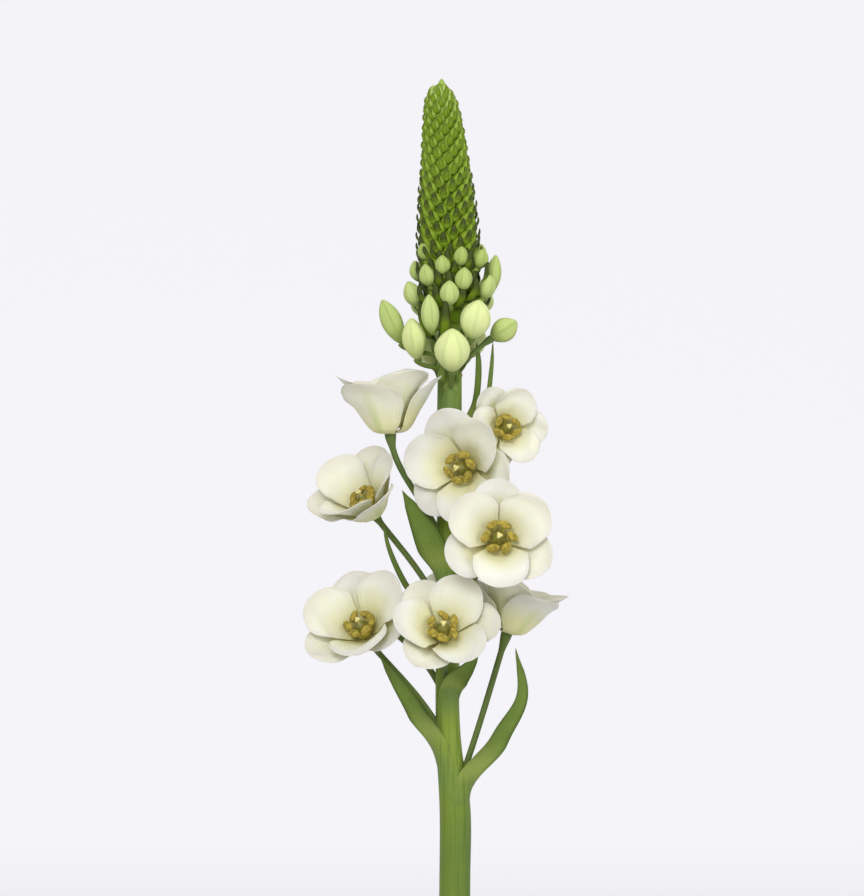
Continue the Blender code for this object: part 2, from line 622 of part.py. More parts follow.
def bloom_heart(name, place, width, openness):
    """The ovary with its style, and six stamens round it, which a closed bloom holds closer."""
    size = min(1.0, width / FULL_BLOOM_WIDTH)
    spread = CLOSED_STAMEN_SPREAD + (1 - CLOSED_STAMEN_SPREAD) * openness
    scale = MM * size
    ovary = egg(name + "_ovary", OVARY_LENGTH * scale, OVARY_WIDTH * scale, 7, 2, 0.45)
    style = tube(name + "_style", np.array(STYLE_LINE) * scale, np.array(STYLE_RADII) * scale, 4)
    pieces = [ovary, style]
    for number in range(6):
        turn = math.radians(60 + 60 * number)
        pieces.append(stamen(f"{name}_stamen_{number}", turn, size, spread))
    body = fuse(name + "_heart", pieces, HEART_OLIVE)
    body.data.transform(Matrix.Translation((0, 0, HEART_FOOT)))
    body.matrix_world = place
    return body


def blooms():
    """Every open bloom, as its tepals and its heart."""
    for number, (name, seat, azimuth, rise, width, openness, roll, _) in enumerate(BLOOMS):
        rng = np.random.default_rng(SEED + number)
        place = place_of(Vector(seat) * MM, facing(azimuth, rise), math.radians(roll))
        bloom_tepals(name, place, width, openness, rng)
        bloom_heart(name, place, width, openness)


def buds():
    """The large cream and green buds below the spike."""
    for name, centre, azimuth, rise, length, width, _ in BUDS:
        body = egg(name, length * MM, width * MM, 8, 4)
        body.matrix_world = place_of(bud_foot(centre, azimuth, rise, length), facing(azimuth, rise))
        finished(body, name, BUD_CREAM)


def spike_centre(height):
    """A point on the spike's centre line."""
    return Vector((float(through(SPIKE_HEIGHTS, SPIKE_X, height)), 0.0, float(height)))


def spike_core():
    """The tapering core of the spike."""
    heights = np.linspace(SPIKE_HEIGHTS[0], SPIKE_HEIGHTS[-1], 9)
    turn = np.arange(SPIKE_SIDES) * 2 * math.pi / SPIKE_SIDES
    circle = np.stack([np.cos(turn), np.sin(turn), np.zeros(SPIKE_SIDES)], axis=1)
    radii = through(SPIKE_HEIGHTS, SPIKE_CORE, heights)
    centres = np.array([spike_centre(height) for height in heights])
    return lofted("core", centres[:, None] + circle[None] * radii[:, None, None])


def spike_bud(number):
    """One small upright bud of the spike, at its turn of the golden angle."""
    share = number / (SPIKE_BUDS - 1)
    height = SPIKE_FIRST_BUD + (SPIKE_LAST_BUD - SPIKE_FIRST_BUD) * share ** 0.94
    envelope = float(through(SPIKE_HEIGHTS, SPIKE_ENVELOPE, height))
    core = float(through(SPIKE_HEIGHTS, SPIKE_CORE, height))
    width = LOWEST_BUD_WIDTH + (TOP_BUD_WIDTH - LOWEST_BUD_WIDTH) * share
    length = width * BUD_SLIMNESS
    rise = LOWEST_BUD_RISE + (TOP_BUD_RISE - LOWEST_BUD_RISE) * share**2
    way = facing(GOLDEN_ANGLE * number, rise)
    outward = Vector((way.x, way.y, 0)).normalized()
    reach = envelope - length * 0.6 * math.cos(math.radians(rise)) - width * 0.35
    root = spike_centre(height - length * 0.35) + outward * min(max(reach, core * 0.5), core * 0.9)
    bud = egg(f"spike_bud_{number}", length, width, 5, 2, 0.5)
    bud.data.transform(place_of(root, way))
    return bud


def collar_bud(number, centre, azimuth, rise, length, width):
    """One of the small buds round the foot of the spike, with its short stalk from the core."""
    way = facing(azimuth, rise)
    foot = bud_foot(centre, azimuth, rise, length)
    bud = egg(f"collar_bud_{number}", length * MM, width * MM, 6, 2, 0.5)
    bud.data.transform(place_of(foot, way))
    start = spike_centre(max(foot.z - 4 * MM, SPIKE_HEIGHTS[0] + 1.5 * MM))
    stalk = tube(f"collar_stalk_{number}", [start, foot + way * length * 0.3 * MM], COLLAR_STALK_RADII, 3)
    return [bud, stalk]


def bud_spike():
    """The tall spike of packed green buds at the tip of the stem."""
    pieces = [spike_core()]
    for number in range(SPIKE_BUDS):
        pieces.append(spike_bud(number))
    for number, row in enumerate(COLLAR_BUDS):
        pieces += collar_bud(number, *row)
    return fuse("bud_spike", pieces, SPIKE_GREEN)


def main():
    """Builds the whole part."""
    clear_scene()
    vase()
    water()
    flower_stem()
    blooms()
    buds()
    bud_spike()


main()
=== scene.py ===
"""The looks of one white ornithogalum stem in a clear glass bud vase, made round the packed model.

Metres, +Z up. The origin is the centre of the vase's foot, the viewer stands on the -Y side and
+X is to the right. Every surface is a formula in two parameters, worked out with numpy as whole
arrays, and its place is in its points. A facing is an azimuth, 0 towards the viewer and positive
to the right, and a rise above the horizon, both in degrees. A share runs from 0 to 1.
"""
import math
from functools import partial

import bpy
import numpy as np
from bpy.props import FloatProperty, FloatVectorProperty, IntProperty, PointerProperty
from mathutils import Matrix, Vector


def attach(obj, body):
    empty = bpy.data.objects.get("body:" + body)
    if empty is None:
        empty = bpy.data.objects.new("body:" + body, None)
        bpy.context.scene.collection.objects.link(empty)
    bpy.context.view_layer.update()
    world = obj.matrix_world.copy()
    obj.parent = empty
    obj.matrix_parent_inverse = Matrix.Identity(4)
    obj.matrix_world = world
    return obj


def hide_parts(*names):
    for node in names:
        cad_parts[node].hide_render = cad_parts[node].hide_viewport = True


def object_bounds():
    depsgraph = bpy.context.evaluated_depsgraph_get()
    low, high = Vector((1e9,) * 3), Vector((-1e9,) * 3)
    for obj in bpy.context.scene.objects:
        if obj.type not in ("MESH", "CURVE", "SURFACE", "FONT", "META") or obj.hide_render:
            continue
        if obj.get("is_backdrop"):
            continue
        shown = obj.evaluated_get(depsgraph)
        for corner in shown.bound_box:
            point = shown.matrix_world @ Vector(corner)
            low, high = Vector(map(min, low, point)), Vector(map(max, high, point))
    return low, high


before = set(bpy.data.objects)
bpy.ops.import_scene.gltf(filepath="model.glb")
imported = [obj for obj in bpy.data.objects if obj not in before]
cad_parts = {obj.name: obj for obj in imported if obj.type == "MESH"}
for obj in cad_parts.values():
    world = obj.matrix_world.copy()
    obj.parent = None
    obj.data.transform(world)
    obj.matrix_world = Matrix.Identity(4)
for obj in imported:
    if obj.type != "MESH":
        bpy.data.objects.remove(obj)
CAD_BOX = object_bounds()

bl_info = {
    "name": "Ornithogalum in a glass vase",
    "version": (1, 0, 0),
    "blender": (4, 5, 0),
    "location": "3D View > Sidebar > Flower",
    "description": "Makes a white ornithogalum stem in a clear glass bud vase, with a studio stage",
    "category": "Object",
}

MM = 0.001
SEED = 10
HEART_SEED = 110
GOLDEN_ANGLE = 137.508
UPRIGHT = np.array([0.0, 0.0, 1.0])
# Points in a ring of the vase, the water and the paper
TURNED_SIDES = 96

# The vase's outline from the foot to under the lip, as in the packed model
VASE_HEIGHTS = np.array([0.0, 5.0, 30.0, 56.0, 80.0, 100.0, 122.0, 150.0, 176.0, 191.0]) * MM
VASE_RADII = np.array([31.0, 35.0, 41.0, 42.0, 38.2, 31.0, 21.0, 13.8, 13.0, 15.6]) * MM
VASE_UNDERSIDE = np.array([(0.5, 14.0, 24.0, 28.0, 30.2), (1.4, 1.2, 0.5, 0.0, 0.15)]) * MM
VASE_TOP = 196.0 * MM
VASE_FLOOR = 8.0 * MM
HEAVY_FOOT = 9.0 * MM
HEAVY_FOOT_HEIGHT = 14.0 * MM
LIP_OUTER_RADIUS = 16.4 * MM
# Its rings: how many up each wall and over the lip, where the walls start, and across the floor
WALL_RINGS = 110
LIP_RINGS = 13
OUTER_WALL_START = 1.2 * MM
INNER_WALL_START = VASE_FLOOR + 0.15 * MM
FLOOR_RINGS = np.linspace(0.97, 0.02, 10)
# The water laps into what holds it. Its rings: across its bottom, up its side, over its
# surface from the glass to the stem, and down the stem's hole
WATER_LAP = 0.2 * MM
WATER_HOLE_BOTTOM = 20.0 * MM
WATER_SIDE_START = VASE_FLOOR + 0.1 * MM
WATER_BOTTOM_RINGS = np.linspace(0.03, 0.97, 8)
WATER_SIDE_RINGS = 60
WATER_SURFACE_RINGS = np.linspace(0.0, 1.0, 26)[1:-1]
WATER_HOLE_RINGS = 24

# The stem: heights, sideways and depth offsets of its centre line, and radii
STEM_HEIGHTS = np.array([9.0, 60.0, 120.0, 180.0, 210.0, 233.0, 247.0, 300.0, 350.0, 362.0, 375.7]) * MM
STEM_X = np.array([-9.0, -5.4, -1.8, 0.4, 0.9, 0.8, -0.7, -0.9, -0.8, -0.7, -0.7]) * MM
STEM_Y = np.array([6.0, 3.6, 1.5, 0.3, 0.0, 0.0, 0.0, 0.0, 0.0, 0.0, 0.0]) * MM
STEM_RADII = np.array([4.7, 4.7, 4.7, 4.7, 4.65, 4.6, 3.9, 3.75, 3.7, 3.6, 3.4]) * MM
STEM_SIDES = 40
STEM_RINGS = 230
STEM_IN_SPIKE = 4.0 * MM
STEM_CUT_SLOPE = 0.45
STEM_CUT_HEIGHT = 12.0 * MM
# Its ribs: depth as a share of the radius, number, turn per metre, and first turn
STEM_RIBS = ((0.012, 5, 20, 0.0), (0.006, 11, 0, 2.0))
# Heights between which its green darkens towards the cut
STEM_DARKENS_FROM = 255.0 * MM
STEM_DARKEST_BELOW = 222.0 * MM

# How a stalk leaves the stem, outwards and up, and how strongly its ends steer it
STALK_LEAVES = (0.34, 0.94)
START_PULL = 0.42
END_PULL = 0.3
# Points along and round a stalk of a bloom and of a large bud, its share of the stalks' colour,
# how much wider its foot is and for how long, and its top, from where on and for how long
BLOOM_STALK = (48, 14, 0.8, 0.45, 0.2, 0.85, 0.86, 0.14)
BUD_STALK = (40, 12, 0.5, 0.3, 0.25, 0.7, 0.8, 0.2)
# How far a stalk reaches into a seat and into a bud, and its radius under a bud, in millimetres
SEAT_GRIP = 0.3
BUD_GRIP = 0.4
BUD_STALK_RADIUS = 0.5
BUD_STALK_PER_WIDTH = 0.03

# The bowl of tepals, as in the packed model but for the tepals' half width, which is fuller
TEPAL_START = 0.8 * MM
INNER_TEPAL_FOOT = 1.1 * MM
OUTER_TEPAL_FOOT = 0.4 * MM
TEPAL_HALF_WIDTH = 0.5
OUTER_WHORL_GAP = 1.35 * MM
OUTER_WHORL_WIDTH = 0.9
WHORL_HALF_ANGLE = math.radians(56)
WHORL_MIN_RADIUS = 2.6 * MM
LEAN_RANGE = math.radians(4.0)
FOOT_SLOPE = 19
CUP_STEEPEST = 64
CUP_OPENS = 22
TIP_STEEPEST = 52
TIP_OPENS = 40
TEPAL_STRAYS = math.radians(4.0)
SHORTEST_TEPAL = 0.95
MIDRIB_CHANNEL = 0.45 * MM
MARGIN_CURL = 0.9 * MM
CRUMPLE = 0.3 * MM
# Shares along and across a tepal, closer together towards its tip and its margins
TEPAL_ALONG = np.sin(np.linspace(0.0, 1.0, 30) * math.pi / 2)[:, None]
TEPAL_ACROSS = np.sin(np.linspace(-1.0, 1.0, 21) * math.pi / 2)[None]
# The seat that the tepals grow from, and the heart on it
SEAT_HEIGHTS = np.array([0.0, 0.3, 0.8, 1.3, 1.6]) * MM
SEAT_RADII = np.array([1.5, 1.9, 2.2, 2.1, 1.4]) * MM
HEART_FOOT = 1.9 * MM
FULL_BLOOM_WIDTH = 30.0
CLOSED_STAMEN_SPREAD = 0.74
OVARY_LENGTH = 5.8 * MM
OVARY_WIDTH = 5.2 * MM
ANTHER_SIZE = np.array([1.8, 2.5, 4.2]) * MM
STYLE_HEIGHTS = np.array([4.2, 5.2, 6.2, 6.9, 7.3, 7.6, 7.75]) * MM
STYLE_RADII = np.array([0.55, 0.5, 0.5, 0.62, 0.85, 0.75, 0.3]) * MM
LOBES_START = 6.5 * MM

# The open blooms, sizes in millimetres and angles in degrees. Seat, facing azimuth and rise,
# width across, openness, roll, and the height on the stem at which its stalk leaves
BLOOMS = (
    ((16.4, -0.6, 283.4), 84, 73, 30.0, 0.25, 6, 234.0),
    ((-2.9, -18.0, 282.8), 2, 32, 32.5, 0.75, 30, 261.0),
    ((-25.4, -4.3, 282.4), -23, 38, 35.0, 0.65, 20, 248.0),
    ((13.4, -22.0, 311.6), 2, 12, 33.5, 0.9, 0, 280.0),
    ((-23.6, -3.6, 319.6), -40, 44, 30.2, 0.34, 4, 285.0),
    ((5.4, -7.6, 333.2), -28, 0, 35.0, 0.85, 15, 299.0),
    ((14.8, 1.0, 344.2), 17, 10, 25.0, 0.75, 30, 311.0),
    ((-18.4, -9.0, 343.0), -80, 86, 30.5, 0.1, -7, 306.0),
    ((-3.0, 11.0, 286.5), 192, 15, 26.0, 0.7, 0, 256.0),
    ((-23.0, 8.0, 287.0), -125, 25, 23.0, 0.6, 0, 262.0),
    ((13.0, 14.0, 310.0), 152, 12, 27.0, 0.8, 0, 278.0),
    ((2.0, 12.0, 333.5), 190, 10, 27.0, 0.8, 0, 300.0),
    ((13.5, 8.0, 345.0), 140, 25, 18.0, 0.4, 0, 318.0),
)
# The blooms whose stalks have no short bract, because a large one stands there
BARE_STALKS = (1, 2, 3, 5, 10)

# The power of a sine that gives ovaries and buds their egg form
EGG_POWER = 0.7

# The large buds. Centre, facing azimuth and rise, length, width, axil height, paleness
BUDS = (
    ((0.0, -10.0, 368.0), 0, 66, 14.1, 10.4, 352.0, 1.0),
    ((-11.3, -4.6, 371.5), -40, 76, 13.0, 7.4, 360.0, 0.9),
    ((6.9, -8.6, 377.2), 30, 66, 12.6, 9.4, 362.0, 1.0),
    # This left bud's low paleness is painted shade: its side is seen in shade
    ((-18.0, -1.0, 376.8), -90, 66, 14.6, 6.6, 363.0, 0.5),
    ((15.5, -1.0, 374.3), 90, 34, 9.6, 7.4, 356.0, 0.55),
    ((-6.6, 8.4, 369.5), 215, 66, 13.0, 9.6, 354.0, 0.9),
    ((5.8, 9.0, 371.5), 150, 64, 12.5, 9.4, 357.0, 0.9),
)

# The small buds round the foot of the spike. Centre, facing azimuth and rise, length, width
COLLAR_BUDS = (
    ((-6.5, -8.6, 378.8), -20, 78, 12.2, 5.6),
    ((-0.8, -9.2, 385.0), 0, 68, 8.2, 5.8),
    ((-11.8, -2.6, 385.0), -70, 68, 8.4, 5.4),
    ((10.4, -4.6, 387.0), 60, 72, 8.0, 5.2),
    ((3.4, -8.8, 389.2), 15, 72, 7.6, 5.4),
    ((-7.4, -6.4, 390.4), -40, 72, 7.4, 5.0),
    ((12.4, -0.6, 391.0), 80, 82, 12.0, 4.8),
    ((2.6, -8.6, 396.0), 15, 74, 6.4, 4.4),
    ((8.6, -5.2, 395.4), 50, 72, 6.6, 4.6),
    ((-8.2, -4.0, 397.6), -55, 74, 6.0, 4.2),
    ((-2.8, -8.6, 393.4), -10, 72, 6.4, 4.6),
    ((-9.4, 5.0, 382.0), 245, 68, 8.2, 5.8),
    ((-1.2, 9.8, 382.8), 180, 68, 8.2, 5.8),
    ((9.6, 5.0, 383.0), 120, 66, 8.4, 5.8),
    ((-6.8, 7.4, 390.4), 220, 72, 7.4, 5.2),
    ((4.6, 8.6, 390.4), 155, 72, 7.4, 5.2),
    ((-10.4, 1.6, 392.0), 262, 74, 6.8, 4.8),
    ((-1.4, 8.8, 397.0), 180, 74, 6.2, 4.6),
    ((8.2, 3.8, 397.4), 112, 74, 6.2, 4.4),
)
COLLAR_HEIGHTS = np.array([382.0, 392.0, 399.0]) * MM
COLLAR_PALENESS = (0.66, 0.45, 0.28)
COLLAR_STALK_RADIUS = 0.8 * MM
COLLAR_STALK_FOOT = 377.5 * MM
COLLAR_BRACT_TURN = 24.0

# The spike of packed buds: heights, envelope radii, core radii and sideways offsets
SPIKE_HEIGHTS = np.array([376.0, 383.0, 392.0, 401.0, 409.0, 423.0, 437.0, 444.3, 450.0]) * MM
SPIKE_ENVELOPE = np.array([5.0, 6.4, 8.0, 8.4, 8.1, 7.4, 6.4, 5.3, 1.2]) * MM
SPIKE_CORE = np.array([3.4, 4.6, 5.6, 6.0, 5.8, 5.2, 4.3, 3.4, 0.5]) * MM
SPIKE_X = np.array([-0.7, -0.8, -1.0, -1.2, -1.5, -2.1, -3.0, -3.5, -3.0]) * MM
SPIKE_TIP_FOOT = np.array([(-3.1, 0.0, 444.2)]) * MM
SPIKE_TIP_SIZE = np.array([(5.6,), (2.8,)]) * MM
SCALE_THICKNESS = 0.35 * MM
# Its buds: heights of the lowest and how much higher the highest stands, how they crowd, the
# lowest one's width, how much narrower the highest is, and their length over their width
SPIKE_LOWEST_BUD = 381.5
SPIKE_BUDS_SPAN = 64.5
SPIKE_CROWDING = 0.95
SPIKE_BUD_MIDDLE = 1.5 * MM
SPIKE_BUD_WIDTH = 4.1
SPIKE_BUD_SHRINKS = 1.9
SPIKE_BUD_LENGTH = 1.55

# Bracts that show: centre line points in millimetres, half widths, and the way the outer face
# looks. Left, right, front, middle, thin left, and the inner and outer upper right
BRACTS = (
    (((-3, 0, 242), (-6.8, -1.4, 253), (-11, -2.4, 261.5), (-16, -2.4, 269), (-22, -2.2, 277.4)),
     (2.8, 3.8, 3.3, 2.3, 0.4), (-0.6, -0.8, -0.2)),
    (((3.2, 0, 231), (8.2, -1, 242), (14.4, -2, 253.5), (20.6, -2, 265), (19, -2.5, 279.4)),
     (2.6, 4.0, 3.4, 2.2, 0.4), (0.55, -0.82, -0.2)),
    (((-1, -2, 264), (1.0, -5.8, 269.5), (4.4, -7.8, 273.2), (7.9, -8.4, 277.4)),
     (3.0, 3.6, 2.2, 0.4), (0.1, -1.0, -0.2)),
    (((0.5, -1, 297), (-4.6, -5.5, 307), (-8.8, -6, 316), (-15.0, -6, 326.5)),
     (2.6, 4.4, 3.6, 0.4), (-0.3, -0.95, -0.1)),
    (((-3, -1, 284), (-9.4, -3, 292), (-14.6, -4, 300), (-18.6, -4.4, 309), (-20.6, -4.6, 317)),
     (1.4, 1.5, 1.3, 1.0, 0.35), (-0.7, -0.7, -0.3)),
    (((1, 1, 338), (5, 2.6, 346), (7.2, 3.2, 355), (7.8, 3.2, 364), (7.4, 3, 371)),
     (1.2, 1.2, 1.2, 1.1, 0.35), (0.6, -0.8, -0.1)),
    (((1.4, 1.2, 334), (7, 3.4, 342), (10.2, 4.2, 352), (11.6, 4, 362), (12.4, 3.6, 371)),
     (1.2, 1.1, 1.0, 0.9, 0.35), (0.7, -0.7, -0.1)),
)
# Short bracts under the stalks: how far out and up the line's points lie, half widths, and how
# far above the axil they leave the stem
BLOOM_BRACT = (((1.5, 0.0), (5.6, 6.0), (8.8, 13.0)), (2.0, 2.0, 0.4), -1.5)
BUD_BRACT = (((1.0, 0.0), (4.2, 4.0), (5.6, 9.0)), (1.4, 2.0, 0.35), 4.0)
BRACT_ALONG = np.linspace(0.0, 1.0, 40)
BRACT_ACROSS = np.linspace(-1.0, 1.0, 15)
BRACT_HOLLOW = 0.35
BRACT_POINT = 0.12
THINNEST_BRACT = 0.05
# A bract's clasping foot, in millimetres: how deep in the stem it starts, how far it comes out
# and over which share, its width over the blade's, its sag at the margins, and where it ends
CLASP_HALF_ANGLE = 1.2
CLASP_DEPTH = 0.5
CLASP_RISE = 0.65
CLASP_RISE_SHARE = 0.16
CLASP_WIDTH = 1.6
CLASP_SAG = 2.5
CLASP_FADES = (0.05, 0.4)

# The camera: the photograph looks level at the flower from the front
CAMERA_PLACE = (-0.006, -1.2, 0.339)
SEEN_HEIGHT = 0.2688
SENSOR = 36.0

# The paper: how far out it lies flat, its cove's radius and its upper edge
PAPER_FLAT = 2.5
PAPER_COVE = 0.9
PAPER_TOP = 3.2

# The softboxes: name, place, size and power as a share of the key's
LAMPS = (("key_light", (-0.25, -1.45, 0.95), 0.7, 1.0), ("fill_light", (1.0, -1.1, 0.5), 0.9, 0.45),
         ("top_light", (0.1, 0.0, 1.7), 0.8, 0.35), ("back_light", (0.5, 1.3, 0.9), 0.9, 0.3))
LAMP_TARGET = (0.0, 0.0, 0.32)
LAMP_SPREAD = math.radians(70.0)

# Settings of nodes that mix colours, map a range with soft ends, multiply, and multiply and add
COLOURS = {"data_type": "RGBA"}
SOFT = {"interpolation_type": "SMOOTHSTEP"}
TIMES = {"operation": "MULTIPLY"}
TIMES_PLUS = {"operation": "MULTIPLY_ADD"}


def linear(hex_colour):
    """The linear red, green, blue and alpha of an sRGB hex value."""
    srgb = np.array([int(hex_colour[at:at + 2], 16) for at in (1, 3, 5)]) / 255
    flat = np.where(srgb <= 0.04045, srgb / 12.92, ((srgb + 0.055) / 1.055) ** 2.4)
    return (*flat.tolist(), 1.0)


def length_of(name, about, millimetres):
    """A length that a user may change."""
    return FloatProperty(name=name, description=about, default=millimetres * MM, min=0.0,
                         precision=5, subtype="DISTANCE", unit="LENGTH")


def colour_of(name, about, hex_colour):
    """A colour that a user may change."""
    return FloatVectorProperty(name=name, description=about, default=linear(hex_colour), size=4,
                               min=0.0, max=1.0, subtype="COLOR")


class VaseSettings(bpy.types.PropertyGroup):
    """The glass vase and its water."""

    wall: length_of("Wall", "Thickness of the glass above the heavy foot", 3.0)
    glass: colour_of("Glass", "Tint of the glass", "#FBFEFD")
    glass_depth: colour_of("Glass in depth", "Colour that thick glass takes", "#C2E0D4")
    water_level: length_of("Water level", "Height of the water's surface", 100.0)
    meniscus: length_of("Meniscus", "How far the water climbs where it meets glass or stem", 1.5)
    water: colour_of("Water", "Tint of the water", "#F6FAF8")


class StemSettings(bpy.types.PropertyGroup):
    """The stem, its stalks and its bracts."""

    rind: colour_of("Rind", "Main green of the stem", "#80943A")
    rind_blue: colour_of("Waxy rind", "Bluer green where the wax is thick", "#6D8546")
    rind_dark: colour_of("Rind streaks", "Darker green of the fine lengthwise streaks", "#4A6322")
    stalk: colour_of("Stalks", "Duller green of the stalks", "#5B6A3A")
    stalk_radius: length_of("Stalk radius", "Radius of a bloom's stalk", 0.95)
    leaf: colour_of("Bract", "Green of the bracts", "#7C9442")
    leaf_dark: colour_of("Bract streaks", "Dark green between a bract's veins", "#4D6120")
    leaf_foot: colour_of("Bract foot", "Paler green where a bract leaves the stem", "#A3AE5C")
    leaf_thickness: length_of("Bract thickness", "Thickness of a bract along its middle", 0.8)


class BloomSettings(bpy.types.PropertyGroup):
    """The tepals of the open blooms."""

    thickness: length_of("Tepal thickness", "Thickness of a tepal along its middle", 0.6)
    white: colour_of("White", "White of the tepals", "#E5E4D2")
    cool: colour_of("Cool white", "White in the cooler patches", "#E1E2DB")
    cream: colour_of("Cream", "Cream that spreads from the throat", "#E0DCA6")
    green: colour_of("Green", "Green of the outer mid stripe and the very base", "#B9C77A")
    rim: colour_of("Rim", "Lilac grey that the tepals' thin margins take", "#CDC8C0")
    # Partly the tepals' own olive, partly painted shade deep in the throat
    eye: colour_of("Eye", "Olive of the tepals' feet round the heart", "#9C9240")
    vein: colour_of("Veins", "Colour of the fine veins", "#D3D3B4")
    wave: length_of("Margin wave", "How far the margins wave", 0.6)


class HeartSettings(bpy.types.PropertyGroup):
    """The ovary, style and stamens of the open blooms."""

    ovary: colour_of("Ovary", "Dark olive of the ovary", "#6A661E")
    ovary_tip: colour_of("Ovary shoulder", "Paler green at the ovary's shoulders", "#A3A04C")
    stigma: colour_of("Stigma", "Pale yellow of the stigma", "#DAD088")
    filament: colour_of("Filament", "Olive cream of the filaments", "#BEB360")
    pollen: colour_of("Pollen", "Yellow of the pollen grains", "#D2B94A")
    anther: colour_of("Anther", "Olive brown of the anther wall", "#86782A")


class BudSettings(bpy.types.PropertyGroup):
    """The buds of the collar and the spike."""

    cream: colour_of("Cream", "Pale cream green of a swelling bud", "#D8E19E")
    green: colour_of("Green", "Green of a tight bud", "#7E9B1C")
    rib: colour_of("Ribs", "Deep green of a bud's foot and its six ribs", "#4C690C")
    spike_buds: IntProperty(name="Spike buds", description="How many buds the spike carries",
                            default=250, min=20, max=400)
    bract_tip: colour_of("Bract tips", "Brown green of the small bracts' dry tips", "#3F4A1C")


class StageSettings(bpy.types.PropertyGroup):
    """The floor, backdrop, lights and camera."""

    paper: colour_of("Paper", "Colour of the floor and backdrop paper", "#F4F3F8")
    paper_glow: FloatProperty(name="Paper glow", default=0.322, min=0.0, max=1.0, subtype="FACTOR",
                              description="How far the far backdrop glows, to even it out")
    sky: FloatProperty(name="Room light", description="Brightness of the even room light",
                       default=0.64, min=0.0, max=5.0)
    key: FloatProperty(name="Key light", description="Power of the key softbox", default=2.05,
                       min=0.0, max=200.0, unit="POWER")


def through(knots, values, at):
    """A smooth curve through the values at the knots: a cubic between each pair of knots, whose
    slopes are the finite differences of the values."""
    slopes = np.gradient(values, knots)
    at = np.clip(at, knots[0], knots[-1])
    left = np.clip(np.searchsorted(knots, at) - 1, 0, len(knots) - 2)
    span = knots[left + 1] - knots[left]
    t = (at - knots[left]) / span
    start = values[left] * (2 * t**3 - 3 * t**2 + 1) + span * slopes[left] * (t**3 - 2 * t**2 + t)
    end = values[left + 1] * (3 * t**2 - 2 * t**3) + span * slopes[left + 1] * (t**3 - t**2)
    return start + end


def ease(t):
    """Three t squared less two t cubed: rises smoothly from 0 to 1 as t does."""
    t = np.clip(t, 0.0, 1.0)
    return t * t * (3 - 2 * t)


def unit(vectors):
    """The vectors, each divided by its length."""
    return vectors / np.maximum(np.linalg.norm(vectors, axis=-1, keepdims=True), 1e-12)


def triples(x, y, z):
    """Three arrays, stretched to one shape, as points or as triples of skin numbers."""
    return np.stack(np.broadcast_arrays(x, y, z), axis=-1)


def columns_of(table):
    """A table's columns, each as an array."""
    return [np.array(column, dtype=float) for column in zip(*table)]


def facing(azimuth, rise):
    """Unit vectors of azimuths and rises in degrees."""
    turn, lift = np.radians(azimuth), np.radians(rise)
    return triples(np.sin(turn) * np.cos(lift), -np.cos(turn) * np.cos(lift), np.sin(lift))


def circle(sides):
    """Even turns round a circle, with their cosines and sines."""
    turn = np.arange(sides) * 2 * math.pi / sides
    return turn, np.cos(turn), np.sin(turn)


def stem_centre(height):
    """Points on the stem's centre line at heights."""
    return triples(through(STEM_HEIGHTS, STEM_X, height), through(STEM_HEIGHTS, STEM_Y, height), height)


def spike_centre(height):
    """Points on the spike's leaning axis at heights."""
    return triples(through(SPIKE_HEIGHTS, SPIKE_X, height), 0.0, height)


def grid_quads(rows, columns, joined):
    """Corner numbers of a grid's quads; a joined grid's last column meets its first."""
    row = np.arange(rows - 1)[:, None] * columns
    column = np.arange(columns if joined else columns - 1)[None]
    beside = (column + 1) % columns
    corners = [row + column, row + beside, row + columns + beside, row + columns + column]
    return np.stack(corners, axis=-1).reshape(-1, 4)


def round_skins(rings, first, last, skin, finish=0):
    """A batch of closed round surfaces: rings of points, closed by a point at either end.

    rings is (count, rows, sides, 3), first and last are (count, 3), and skin holds three
    numbers for each ring point that the material reads.
    """
    count, rows, sides = rings.shape[:3]
    size = rows * sides + 2
    points = np.concatenate([rings.reshape(count, -1, 3), first[:, None], last[:, None]], axis=1)
    skin = np.broadcast_to(skin, rings.shape)
    ends = [skin[:, :1].mean(axis=2), skin[:, -1:].mean(axis=2)]
    skin = np.concatenate([skin.reshape(count, -1, 3)] + ends, axis=1)
    here = np.arange(sides)
    beside = (here + 1) % sides
    top = (rows - 1) * sides
    low = np.stack([beside, here, 0 * here + size - 2], axis=1)
    high = np.stack([here + top, beside + top, 0 * here + size - 1], axis=1)
    shift = np.arange(count)[:, None, None] * size
    return {"points": points.reshape(-1, 3), "skin": skin.reshape(-1, 3),
            "quads": (grid_quads(rows, sides, True) + shift).reshape(-1, 4),
            "triangles": (np.concatenate([low, high]) + shift).reshape(-1, 3),
            "inner": np.zeros(count * size), "finish": finish}


def leaf_skins(middle, thickness, skin, finish=0):
    """A batch of thin closed leaves: each point of the middle grids moved half the thickness
    along its normal to either side, with the border shared by both faces.

    middle is (count, rows, columns, 3). The face that along x across points to is the inner one.
    """
    count, rows, columns = middle.shape[:3]
    normal = unit(np.cross(np.gradient(middle, axis=1), np.gradient(middle, axis=2)))
    offset = normal * np.broadcast_to(thickness, middle.shape[:3])[..., None] / 2
    border = np.ones((rows, columns), dtype=bool)
    border[1:-1, 1:-1] = False
    inside = np.flatnonzero(~border.ravel())
    size = rows * columns + len(inside)
    offset[:, border] = 0.0
    above = (middle + offset).reshape(count, -1, 3)
    below = (middle - offset).reshape(count, -1, 3)[:, inside]
    skin = np.broadcast_to(skin, middle.shape).reshape(count, -1, 3)
    under = np.arange(rows * columns)
    under[inside] = rows * columns + np.arange(len(inside))
    quads = grid_quads(rows, columns, False)
    quads = np.concatenate([quads[:, [0, 3, 2, 1]], under[quads]])
    shift = np.arange(count)[:, None, None] * size
    inner = np.concatenate([np.where(border.ravel(), 0.5, 1.0), np.zeros(len(inside))])
    return {"points": np.concatenate([above, below], axis=1).reshape(-1, 3),
            "skin": np.concatenate([skin, skin[:, inside]], axis=1).reshape(-1, 3),
            "quads": (quads + shift).reshape(-1, 4), "triangles": np.zeros((0, 3), dtype=int),
            "inner": np.tile(inner, count), "finish": finish}


